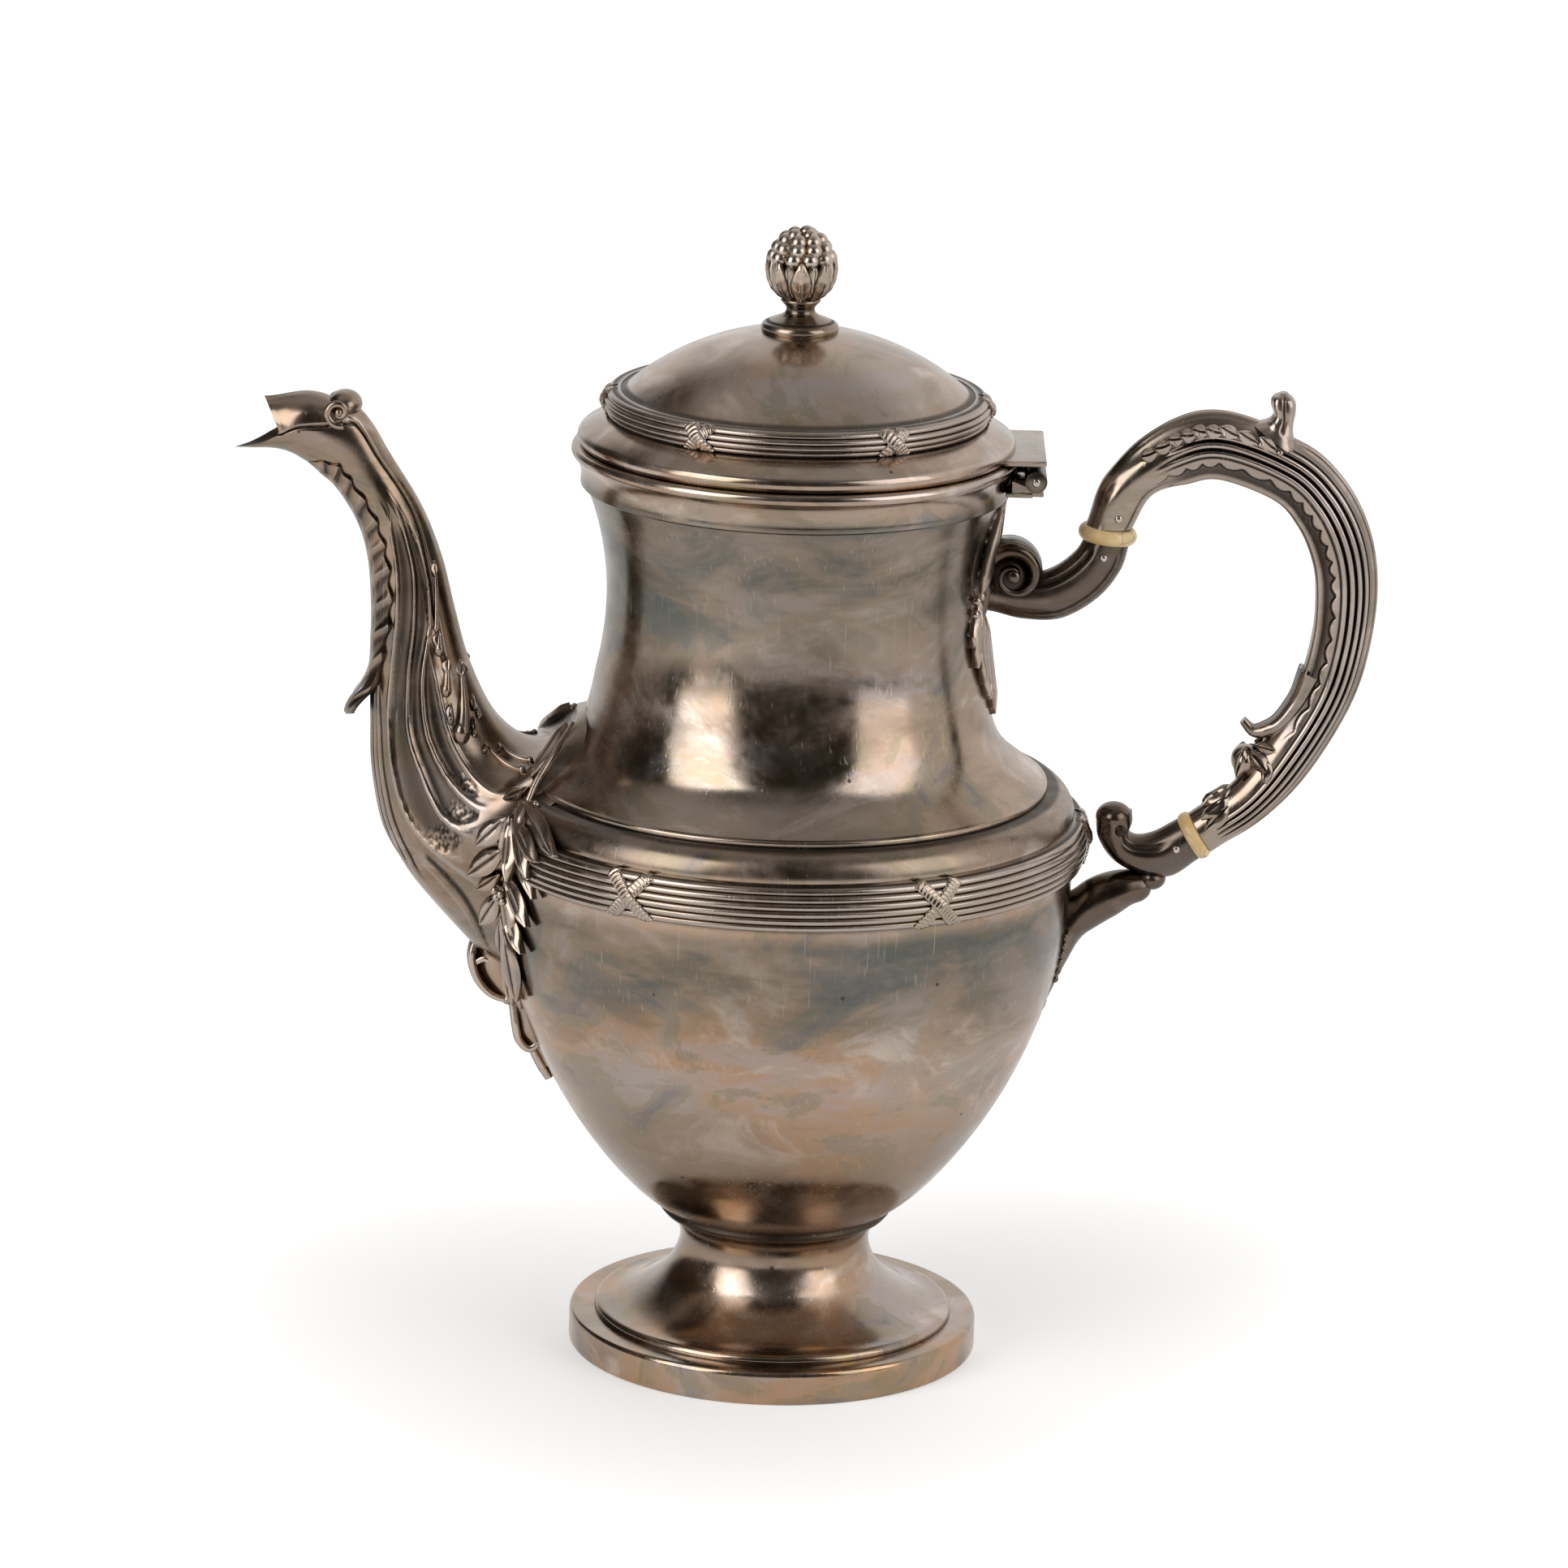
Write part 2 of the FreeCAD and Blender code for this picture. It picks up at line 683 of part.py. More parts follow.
def upper_socket(tools):
    end = ring_end(upper_ring, upper_ring_lean, -ring_thickness / 2, 1.0)
    wires = [section(end[0], end[1], end_half_width)]
    wires += [row_section(row) for row in upper_socket_rows]
    middle = side_point(volute_place)
    volute = rod(middle, cross, volute_radius, 2 * volute_half_width)
    for side in (-1, 1):
        eye = rod(middle + cross * (side * volute_half_width), cross, volute_radius - 1.6, 2.4)
        button = rod(middle + cross * (side * volute_half_width), cross, volute_radius - 3.8, 2.4)
        volute = volute.cut(eye).fuse(button)
    socket = loft(wires).fuse(volute).cut(tools)
    return max(socket.Solids, key=lambda solid: solid.Volume)


def lower_socket(tools):
    end = ring_end(lower_ring, lower_ring_lean, -ring_thickness / 2, -1.0)
    wires = [section(end[1], end[0], end_half_width)]
    wires += [row_section(row) for row in lower_socket_rows]
    scroll = rod(side_point(scroll_place), cross, scroll_radius, 2 * scroll_half_width)
    socket = loft(wires).fuse(scroll).cut(tools)
    return max(socket.Solids, key=lambda solid: solid.Volume)


def skin_leaf(lower, upper, outline):
    # a leaf of even thickness between two profiles, its outline seen from the handle side
    ends = []
    for t, q in ((lower.FirstParameter, upper.FirstParameter), (lower.LastParameter, upper.LastParameter)):
        ends.append(Part.makeLine(lower.value(t), upper.value(q)))
    skin = turned([lower.toShape(), upper.toShape()] + ends)
    points = [V(0, y, z) for y, z in outline] + [V(0, -y, z) for y, z in reversed(outline[1:-1])]
    curve = Part.BSplineCurve()
    curve.interpolate(Points=points, PeriodicFlag=True)
    blade = Part.Face(Part.Wire(curve.toShape())).extrude(V(bowl_radius * 2, 0, 0))
    return skin.common(blade)


def leaf_mount():
    # a pointed leaf down the neck below the hinge, seen as half widths and heights above the shoulder
    outline = [(0, 63.9), (9.0, 62.4), (7.5, 51.2), (12.0, 41.2), (12.5, 34.2), (6.0, 23.2), (0, 15.7)]
    profile = neck_profile()
    return skin_leaf(profile, beside(profile, mount_sheet, 24), [(y, z_shoulder + z) for y, z in outline])


def lower_bracket(tools):
    wires = [row_section(row) for row in bracket_rows]
    knob = Part.makeSphere(knob_radius, side_point(knob_place))
    outline = [(0, -12.6), (6.2, -16.6), (5.4, -26.6), (2.6, -38.6), (0, -45.0)]
    tongue = skin_leaf(bowl_side(0.0), bowl_side(-mount_sheet), [(y, z_wide + z) for y, z in outline])
    bracket = loft(wires).fuse([knob, tongue]).cut(tools)
    return max(bracket.Solids, key=lambda solid: solid.Volume)


def lid_flange():
    inner = mouth_radius - wall - bezel_gap - bezel_wall
    edge = z_flange + flange_edge
    shelf = lid_band_radius - wall
    edges = path([
        at(flange_radius - 0.7, z_flange), at(inner, z_flange), at(inner, z_flange + wall),
        at(shelf, z_lid_band - wall), at(shelf, z_lid_band),
        at(lid_band_radius + reed_rise + lid_band_bulge, z_lid_band), at(flange_radius - 0.7, edge),
    ])
    middle = (z_flange + edge) / 2
    edges.append(arc(
        at(flange_radius - 0.7, edge), at(flange_radius, middle), at(flange_radius - 0.7, z_flange),
    ))
    return turned(edges)


def lid_bezel():
    outer = mouth_radius - wall - bezel_gap
    inner = outer - bezel_wall
    return turned_points((outer, z_flange), (inner, z_flange), (inner, z_flange - bezel_depth),
                         (outer - 0.4, z_flange - bezel_depth), (outer, z_flange - bezel_depth + 0.8))


def cap_edge(inset):
    # the round cap of the dome as an arc from its rim to the axis
    ball = (dome_radius ** 2 + dome_rise ** 2) / (2 * dome_rise)
    middle = z_top - ball
    rim = dome_radius - inset
    bend = math.asin(rim / (ball - inset)) / 2
    size = ball - inset
    low = at(rim, middle + math.sqrt(size ** 2 - rim ** 2))
    return arc(low, at(size * math.sin(bend), middle + size * math.cos(bend)), at(0, z_top - inset)), low


def lid_dome():
    outside, rim = cap_edge(0.0)
    inside, rim_in = cap_edge(wall)
    skirt = lid_band_radius - wall
    edges = [outside, inside]
    edges += path([rim, at(lid_band_radius, z_dome), at(lid_band_radius, z_lid_band)])
    edges += path([at(lid_band_radius, z_lid_band), at(skirt, z_lid_band)])
    edges += path([at(skirt, z_lid_band), at(skirt, rim_in.z - wall), rim_in])
    edges += path([at(0, z_top - wall), at(0, z_top)])
    return turned(edges).cut(rod(at(0, z_top), up, stud_radius, 8.0))


def dome_fill():
    outside, rim = cap_edge(0.0)
    return turned([outside] + path([rim, at(0, rim.z), at(0, z_top)]))


def finial_stem():
    base = z_top + finial_base_height
    waist = z_top + finial_waist_rise
    top = bud_base
    foot = z_top - 2.0
    side = finial_base_radius
    edges = path([at(side, base - 0.8), at(side, foot), at(0, foot), at(0, top)])
    edges += path([at(0, top), at(finial_seat_radius, top)])
    edges.append(arc(at(side, base - 0.8), at(side - 0.3, base - 0.2), at(side - 1.0, base)))
    ogee = spline([
        at(side - 1.0, base), at(finial_waist * 1.5, waist - 0.9), at(finial_waist, waist),
        at(finial_seat_radius, top),
    ])
    edges.append(ogee.toShape())
    stud = Part.makeCylinder(stud_radius, stud_drop + finial_base_height, at(0, z_top - stud_drop))
    return turned(edges).cut(dome_fill()).fuse(stud)


def finial_nut():
    # a plain round nut on the stud, drawn up under the dome
    top = z_top - wall
    blank = Part.makeCylinder(nut_radius, nut_height + 1.0, at(0, top - nut_height))
    bore = Part.makeCylinder(stud_radius, nut_height * 3, at(0, top - nut_height * 2))
    ball = (dome_radius ** 2 + dome_rise ** 2) / (2 * dome_rise) - wall
    roof = Part.makeSphere(ball, at(0, z_top - wall - ball))
    return blank.common(roof).cut(bore)


def bud_profile(sheet):
    # the egg of the finial, fullest a little below its middle
    steps = 8
    points = []
    for i in range(steps + 1):
        turn = math.pi * i / steps
        rise = bud_height * (0.5 - 0.5 * math.cos(turn))
        full = math.sin(turn) * (1.0 + 0.16 * math.cos(turn))
        points.append(at((bud_radius + sheet) * full, bud_base + 0.4 + rise + sheet * -math.cos(turn)))
    return spline(points, V(1, 0, 0), V(-1, 0, 0))


def bud_solid(sheet):
    profile = bud_profile(sheet)
    low, high = profile.value(profile.FirstParameter), profile.value(profile.LastParameter)
    return turned([profile.toShape(), Part.makeLine(high, low)])


def finial_leaf_cup():
    # eight pointed leaves rising from a small cup round the lower half of the bud
    skin = bud_solid(leaf_sheet)
    height = bud_height * 0.56
    half = 2.9
    leaves = []
    for i in range(8):
        low, tip = bud_base - 1.0, bud_base + height
        swell = low + (tip - low) * 0.45
        outline = [V(0, -half * 0.7, low), V(0, -half, swell), V(0, 0, tip)]
        outline += [V(0, half, swell), V(0, half * 0.7, low)]
        face = Part.Face(Part.makePolygon(outline + outline[:1]))
        leaf = face.extrude(V(bud_radius * 2, 0, 0))
        leaf.rotate(origin, up, 45.0 * i)
        leaves.append(leaf)
    cup = Part.makeCylinder(bud_radius, bud_height * 0.22, at(0, bud_base))
    leaves.append(cup)
    cut_low = Part.makeBox(40, 40, 10, V(-20, -20, bud_base - 10))
    return skin.common(leaves[0].fuse(leaves[1:])).cut([bud_solid(0.0), cut_low])


def finial_berries(leaf_cup):
    # a bud with rows of round berries over its upper half
    pieces = [bud_solid(0.0)]
    rows = ((0.60, 10), (0.76, 9), (0.89, 6), (0.975, 3))
    profile = bud_profile(0.0)
    span = profile.LastParameter - profile.FirstParameter
    for k, (share, count) in enumerate(rows):
        spot = profile.value(profile.FirstParameter + span * share)
        for i in range(count):
            turn = 2 * math.pi * (i + 0.5 * (k % 2)) / count
            place = V(spot.x * math.cos(turn), spot.x * math.sin(turn), spot.z)
            pieces.append(Part.makeSphere(berry_radius, place))
    return pieces[0].fuse(pieces[1:]).cut(leaf_cup)


def hinge_knuckle(middle, width, bore):
    place = V(hinge_x, middle, hinge_z)
    return rod(place, cross, knuckle_radius, width).cut(rod(place, cross, bore, width + 1.0))


def hinge_pin():
    return rod(V(hinge_x, 0, hinge_z), cross, hinge_pin_radius, hinge_width + 0.8)


def hinge_body_leaf(collar, envelope):
    outer = (hinge_width - lid_knuckle_width) / 2 - knuckle_gap
    lip = mouth_radius
    pieces = []
    for side in (-1, 1):
        middle = side * (hinge_width - outer) / 2
        lug = plate([(lip - 6.0, hinge_z - 3.4), (hinge_x + 0.6, hinge_z - 3.4), (hinge_x + 0.6, hinge_z),
                     (lip - 6.0, hinge_z)], outer / 2)
        lug.translate(V(0, middle, 0))
        bar = rod(V(hinge_x, middle, hinge_z), cross, knuckle_radius, outer)
        pieces.append(bar.fuse(lug))
    edge = hinge_x - knuckle_radius - 0.9
    apron = plate([(lip - 6.0, hinge_z - 3.4), (edge, hinge_z - 3.4), (edge, hinge_z - 2.2),
                   (lip - 6.0, hinge_z - 2.2)], hinge_width / 2)
    pin = rod(V(hinge_x, 0, hinge_z), cross, hinge_pin_radius, hinge_width * 2)
    leaf = pieces[0].fuse([pieces[1], apron]).cut([envelope, collar, pin])
    return max(leaf.Solids, key=lambda solid: solid.Volume)


def hinge_lid_leaf(flange):
    base = z_flange
    top = z_flange + leaf_plate
    reach = hinge_x + 2.2
    inner = flange_radius - 4.0
    leaf = plate([(inner, base), (reach, base), (reach, top), (inner, top)], hinge_width / 2)
    near = hinge_x - 1.4
    web = plate([(near, hinge_z), (reach, hinge_z), (reach, top), (near, top)], lid_knuckle_width / 2)
    bar = rod(V(hinge_x, 0, hinge_z), cross, knuckle_radius, lid_knuckle_width)
    bore = rod(V(hinge_x, 0, hinge_z), cross, hinge_pin_radius + pin_play, hinge_width)
    under = Part.makeCylinder(flange_radius - 1.6, leaf_plate * 3, at(0, base - leaf_plate))
    return leaf.fuse([web, bar]).cut([flange, bore, under])


def build():
    envelope = vessel_envelope()
    skin = spout_skin()
    collar = mouth_collar()
    flange = lid_flange()
    mount = leaf_mount()
    sprays = laurel_sprays(envelope, skin)
    rings = [insulator(upper_ring, upper_ring_lean, upper_ring_radius),
             insulator(lower_ring, lower_ring_lean, lower_ring_radius)]
    pins = cross_pins()
    held = rings + pins
    low_socket = lower_socket(held)
    leaf_cup = finial_leaf_cup()
    band = (bowl_radius, z_wide, band_height, band_bulge, band_reeds)
    lid_band = (lid_band_radius, z_lid_band, lid_band_height, lid_band_bulge, lid_band_reeds)
    return {
        "foot_rim": foot_rim(),
        "foot_pedestal": foot_pedestal(envelope),
        "bowl": bowl(),
        "neck": neck(),
        "mouth_collar": collar,
        "belly_band": belly_band(),
        "belly_ribbons": crossed_ribbons(*band, skip=(180.0,)),
        "spout": skin.cut([spout_channel(), envelope]),
        "spout_leaf": spout_leaf(skin),
        "laurel_sprays": sprays,
        "ribbon_bow": ribbon_bow(envelope, skin),
        "handle_grip": handle_grip().cut(held),
        "upper_insulator": rings[0].cut(pins),
        "lower_insulator": rings[1].cut(pins),
        "cross_pins": pins,
        "leaf_mount": mount,
        "upper_socket": upper_socket(held + [mount, envelope]),
        "lower_socket": low_socket,
        "lower_bracket": lower_bracket([low_socket, envelope]),
        "hinge_body_leaf": hinge_body_leaf(collar, envelope),
        "hinge_pin": hinge_pin(),
        "hinge_lid_leaf": hinge_lid_leaf(flange),
        "lid_flange": flange,
        "lid_bezel": lid_bezel(),
        "lid_band": reeded_band(*lid_band).cut(flange),
        "lid_ribbons": crossed_ribbons(*lid_band, skip=()),
        "lid_dome": lid_dome(),
        "finial_stem": finial_stem(),
        "finial_nut": finial_nut(),
        "finial_leaf_cup": leaf_cup,
        "finial_berries": finial_berries(leaf_cup),
    }


os.makedirs("parts", exist_ok=True)
for name, shape in build().items():
    if isinstance(shape, list):
        shape = Part.makeCompound(shape)
    print(name, len(shape.Solids), round(shape.Volume, 1), shape.isValid())
    shape.exportStep("parts/" + name + ".step")
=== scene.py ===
import bpy
import json
import math
import numpy as np
from mathutils import Matrix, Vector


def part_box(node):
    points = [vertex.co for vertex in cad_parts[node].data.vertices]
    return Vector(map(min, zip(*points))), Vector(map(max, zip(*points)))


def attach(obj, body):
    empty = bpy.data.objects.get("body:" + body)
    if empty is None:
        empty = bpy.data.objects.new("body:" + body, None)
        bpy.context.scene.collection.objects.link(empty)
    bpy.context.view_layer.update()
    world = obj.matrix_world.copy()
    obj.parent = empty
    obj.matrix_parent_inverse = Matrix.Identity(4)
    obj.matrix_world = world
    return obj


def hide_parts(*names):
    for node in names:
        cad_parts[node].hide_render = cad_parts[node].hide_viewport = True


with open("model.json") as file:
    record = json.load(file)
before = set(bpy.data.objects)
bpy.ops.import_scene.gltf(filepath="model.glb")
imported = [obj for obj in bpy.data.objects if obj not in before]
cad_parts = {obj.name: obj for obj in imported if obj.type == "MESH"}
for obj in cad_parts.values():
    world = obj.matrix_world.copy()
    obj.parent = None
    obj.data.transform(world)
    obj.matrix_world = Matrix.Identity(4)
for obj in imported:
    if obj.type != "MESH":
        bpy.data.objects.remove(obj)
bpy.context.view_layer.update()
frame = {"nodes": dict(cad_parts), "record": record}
scene = bpy.context.scene
print("frame loaded:", len(frame["nodes"]), "nodes")

mm = 0.001


# a node's lowest and highest corner, in millimetres
def nodeBox(node):
    low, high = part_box(node)
    return np.array(low) / mm, np.array(high) / mm


# heights that the pieces share, read from the frame
level = {
    "footTop": nodeBox("foot_rim")[1][2],
    "bowlBase": nodeBox("bowl")[0][2],
    "bandLow": nodeBox("belly_band")[0][2],
    "bandHigh": nodeBox("belly_band")[1][2],
    "shoulder": nodeBox("neck")[0][2],
    "collar": nodeBox("mouth_collar")[0][2],
    "rim": nodeBox("mouth_collar")[1][2],
    "flange": nodeBox("lid_flange")[0][2],
    "lidBandLow": nodeBox("lid_band")[0][2],
    "lidBandHigh": nodeBox("lid_band")[1][2],
    "domeTop": nodeBox("lid_dome")[1][2],
}
wall = 1.0  # rolled sheet, millimetres


# smooth curve through rows of numbers at even steps of its length, each row's slope taken from its neighbours
def smoothRows(rows, count):
    rows = np.asarray(rows, float)
    place = np.concatenate([[0], np.cumsum(np.linalg.norm(np.diff(rows, axis=0), axis=1))])
    return blendRows(place, rows, np.linspace(0, place[-1], count))


# the same curve read at stated places: a cubic between rows whose slopes come from both neighbours
def blendRows(keys, rows, places):
    keys = np.asarray(keys, float)
    rows = np.asarray(rows, float)
    flat = rows.ndim == 1
    rows = rows[:, None] if flat else rows
    places = np.asarray(places, float)
    slope = np.gradient(rows, keys, axis=0)
    i = np.clip(np.searchsorted(keys, places, side="right") - 1, 0, len(keys) - 2)
    gap = (keys[i + 1] - keys[i])[..., None]
    f = np.clip((places - keys[i])[..., None] / gap, 0, 1)
    value = ((2 * f**3 - 3 * f**2 + 1) * rows[i] + (f**3 - 2 * f**2 + f) * gap * slope[i]
             + (3 * f**2 - 2 * f**3) * rows[i + 1] + (f**3 - f**2) * gap * slope[i + 1])
    return value[..., 0] if flat else value


# 0 below low, 1 above high, an s-curve between
def ease(low, high, x):
    f = np.clip((x - low) / (high - low), 0, 1)
    return f * f * (3 - 2 * f)


# a round bump of height 1 at a middle, nought beyond its half width
def hump(x, middle, half):
    return np.where(np.abs(x - middle) < half, 0.5 + 0.5 * np.cos(math.pi * (x - middle) / half), 0.0)


# even angles once round a ring
def ringAngles(steps):
    return np.linspace(0, 2 * math.pi, steps, endpoint=False)


# vectors brought to a length of 1
def unit(v):
    return v / np.maximum(np.linalg.norm(v, axis=-1, keepdims=True), 1e-9)


cornerShare = 0.45  # the most of an edge that one rounded corner takes


# replaces each corner of an outline by a short curve of the stated length
def rounded(points, lengths, closed=True, steps=5):
    points = np.asarray(points, float)
    count = len(points)
    f = np.linspace(0, 1, steps)[:, None]
    out = []
    for k in range(count):
        length = lengths[k] if isinstance(lengths, (list, tuple)) else lengths
        if length <= 0 or (not closed and k in (0, count - 1)):
            out.append(points[k][None])
            continue
        here = points[k]
        back, on = points[k - 1] - here, points[(k + 1) % count] - here
        cut = min(length, np.linalg.norm(back) * cornerShare, np.linalg.norm(on) * cornerShare)
        a, b = here + unit(back) * cut, here + unit(on) * cut
        out.append((1 - f) ** 2 * a + 2 * f * (1 - f) * here + f**2 * b)
    return np.concatenate(out)


# adds points along an outline so that no step is longer than stated
def fine(points, longest, closed=True):
    points = np.asarray(points, float)
    follow = np.roll(points, -1, axis=0) if closed else points[1:]
    out = []
    for a, b in zip(points, follow):
        n = max(1, int(np.ceil(np.linalg.norm(b - a) / longest)))
        out.append(a + (b - a) * np.linspace(0, 1, n, endpoint=False)[:, None])
    if not closed:
        out.append(points[-1:])
    return np.concatenate(out)


# a profile moved sideways, to the right of its run where positive
def beside(profile, gap):
    run = unit(np.gradient(profile, axis=0))
    return profile + np.stack([run[:, 1], -run[:, 0]], -1) * gap


# an arc through three points of a plane
def arc(a, b, c, steps=16):
    a, b, c = (np.asarray(p, float) for p in (a, b, c))
    p, q = b - a, c - a
    d = 2 * (p[0] * q[1] - p[1] * q[0])
    middle = a + np.array([q[1] * (p @ p) - p[1] * (q @ q), p[0] * (q @ q) - q[0] * (p @ p)]) / d
    turns = np.unwrap([math.atan2(*(x - middle)[::-1]) for x in (a, b, c)])
    t = np.linspace(turns[0], turns[2], steps)
    return middle + np.linalg.norm(a - middle) * np.stack([np.cos(t), np.sin(t)], -1)


# radius and height carried round the pot's upright axis; rows follow the profile
def turned(profile, steps=288):
    a = ringAngles(steps)
    r, z = profile[:, :1], profile[:, 1:2]
    return np.stack([r * np.cos(a), r * np.sin(a), z + 0 * a], -1)


# quads between neighbouring points of a grid, with seams closed and end rows shut by a fan to their middle
def gridFaces(points, wrapU, wrapV, capStart, capEnd):
    n, m = points.shape[:2]
    index = np.arange(n * m).reshape(n, m)
    index = np.concatenate([index, index[:1]], 0) if wrapU else index
    index = np.concatenate([index, index[:, :1]], 1) if wrapV else index
    quads = np.stack([index[:-1, :-1], index[:-1, 1:], index[1:, 1:], index[1:, :-1]], -1).reshape(-1, 4)
    extra, tris = [], [np.zeros((0, 3), int)]
    for cap, row, turn in ((capStart, 0, True), (capEnd, n - 1, False)):
        if cap:
            ring = index[row]
            hub = np.full(len(ring) - 1, n * m + len(extra))
            extra.append(points[row].mean(0))
            tris.append(np.stack([ring[1:], ring[:-1], hub] if turn else [ring[:-1], ring[1:], hub], -1))
    return quads, np.concatenate(tris), np.array(extra).reshape(-1, 3)


# six times the room that a set of faces shuts in, below nought where they face inwards
def room(verts, quads, tris):
    faces = np.concatenate([quads[:, :3], quads[:, [0, 2, 3]], tris])
    a, b, c = (verts[faces[:, k]] for k in range(3))
    return np.einsum("ij,ij->i", a - verts.mean(0), np.cross(b - verts.mean(0), c - verts.mean(0))).sum()


# one closed skin: grid points, how it closes, and its relief from -1 in a recess to 1 on a ridge
def skin(points, wrapU=False, wrapV=False, caps=(False, False), relief=0.0):
    quads, tris, extra = gridFaces(points, wrapU, wrapV, *caps)
    verts = np.concatenate([points.reshape(-1, 3), extra])
    height = np.concatenate([(relief + np.zeros(points.shape[:2])).ravel(), np.zeros(len(extra))])
    if room(verts, quads, tris) < 0:
        quads, tris = quads[:, ::-1], tris[:, ::-1]
    return verts, quads, tris, height


# a skin of rings in a row, with both ends shut
def tube(points, relief=0.0):
    return skin(points, False, True, (True, True), relief)


# a closed outline turned about the pot's axis, with one relief for each of its points
def lathe(outline, relief=0.0):
    return skin(turned(outline), True, True, relief=np.reshape(relief, (-1, 1)))


# skins followed by their mirror images on the far side of the pot
def bothSides(skins):
    return skins + [(verts * (1, -1, 1), quads[:, ::-1], tris[:, ::-1], height)
                    for verts, quads, tris, height in skins]


# joins skins into one mesh object at the origin and hands it to the frame
def makePiece(name, skins, node, material, sharp=40):
    base = np.cumsum([0] + [len(s[0]) for s in skins])
    verts = np.concatenate([s[0] for s in skins]) * mm
    quads = np.concatenate([s[1] + b for s, b in zip(skins, base)])
    tris = np.concatenate([s[2] + b for s, b in zip(skins, base)])
    mesh = bpy.data.meshes.new(name)
    mesh.vertices.add(len(verts))
    mesh.vertices.foreach_set("co", verts.astype(np.float32).ravel())
    corners = np.concatenate([quads.ravel(), tris.ravel()]).astype(np.int32)
    mesh.loops.add(len(corners))
    mesh.loops.foreach_set("vertex_index", corners)
    mesh.polygons.add(len(quads) + len(tris))
    starts = np.concatenate([np.arange(len(quads)) * 4, len(quads) * 4 + np.arange(len(tris)) * 3])
    mesh.polygons.foreach_set("loop_start", starts.astype(np.int32))
    mesh.update(calc_edges=True)
    mesh.shade_smooth()
    mesh.set_sharp_from_angle(angle=math.radians(sharp))
    layer = mesh.attributes.new("relief", "FLOAT", "POINT")
    layer.data.foreach_set("value", np.concatenate([s[3] for s in skins]).astype(np.float32))
    mesh.materials.append(material)
    piece = bpy.data.objects.new(name, mesh)
    scene.collection.objects.link(piece)
    body = next(b for b, nodes in frame["record"]["behaviour"]["bodies"].items() if node in nodes)
    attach(piece, body)
    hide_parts(node)
    print("piece:", name, len(verts), "points")


# links one socket to another, or sets a plain value on it
def feed(tree, value, socket):
    if isinstance(value, bpy.types.NodeSocket):
        tree.links.new(value, socket)
    else:
        socket.default_value = value


# a node with its settings, its inputs fed by name, or by number where the key is i and digits
def addNode(tree, kind, settings=None, **inputs):
    node = tree.nodes.new(kind)
    for key, value in (settings or {}).items():
        setattr(node, key, value)
    for key, value in inputs.items():
        feed(tree, value, node.inputs[int(key[1:]) if key[0] == "i" and key[1:].isdigit() else key])
    return node


# a node group with number inputs, each with its first value, and outputs of stated kinds
def newGroup(name, inputs, outputs):
    tree = bpy.data.node_groups.new(name, "ShaderNodeTree")
    for label, value in inputs.items():
        socket = tree.interface.new_socket(name=label, in_out="INPUT", socket_type="NodeSocketFloat")
        socket.default_value = value
    for label, kind in outputs.items():
        tree.interface.new_socket(name=label, in_out="OUTPUT", socket_type=kind)
    return tree, tree.nodes.new("NodeGroupInput").outputs, tree.nodes.new("NodeGroupOutput").inputs


# a new material, its node tree and its shader
def newMaterial(name):
    material = bpy.data.materials.new(name)
    material.use_nodes = True
    return material, material.node_tree, material.node_tree.nodes["Principled BSDF"]


# one sum of up to three values
def mathNode(tree, operation, a, b=0.0, c=0.0, clamp=False):
    node = addNode(tree, "ShaderNodeMath", {"operation": operation, "use_clamp": clamp}, i0=a, i1=b, i2=c)
    return node.outputs[0]


# the product of two values
def times(tree, a, b):
    return mathNode(tree, "MULTIPLY", a, b)


# colour a going over to colour b by a factor; a Mix node has its colours at inputs 6 and 7
def mixColor(tree, factor, a, b, blend="MIX"):
    settings = {"data_type": "RGBA", "blend_type": blend, "clamp_factor": True}
    return addNode(tree, "ShaderNodeMix", settings, i0=factor, i6=a, i7=b).outputs[2]


# a value carried from one range into another along an s-curve
def span(tree, value, low, high, toLow=0.0, toHigh=1.0):
    node = addNode(tree, "ShaderNodeMapRange", {"interpolation_type": "SMOOTHSTEP"}, Value=value)
    for key, number in (("From Min", low), ("From Max", high), ("To Min", toLow), ("To Max", toHigh)):
        node.inputs[key].default_value = number
    return node.outputs[0]


# 1 between the two middle values of four, falling to 0 at the outer ones
def between(tree, value, ends):
    return times(tree, span(tree, value, ends[0], ends[1]), span(tree, value, ends[3], ends[2]))


# 1 at a middle value, falling to 0 over a half width to both sides
def hollow(tree, value, middle, half):
    off = mathNode(tree, "ABSOLUTE", mathNode(tree, "SUBTRACT", value, middle))
    return span(tree, off, half, 0.0)


# cloudy noise at a scale, with its detail, its roughness and how far it is twisted
def noise(tree, vector, scale, detail=3.0, rough=0.55, twist=0.0):
    node = addNode(tree, "ShaderNodeTexNoise", None, Vector=vector, Scale=scale, Detail=detail,
                   Roughness=rough, Distortion=twist)
    return node.outputs[0]


# coordinates scaled and turned, for a pattern that runs in one direction
def stretched(tree, vector, scale, turn):
    return addNode(tree, "ShaderNodeMapping", None, Vector=vector, Scale=scale, Rotation=turn).outputs[0]


# the piece's own relief, -1 in a recess to 1 on a ridge
def reliefOf(tree):
    return addNode(tree, "ShaderNodeAttribute", {"attribute_name": "relief"}).outputs["Fac"]


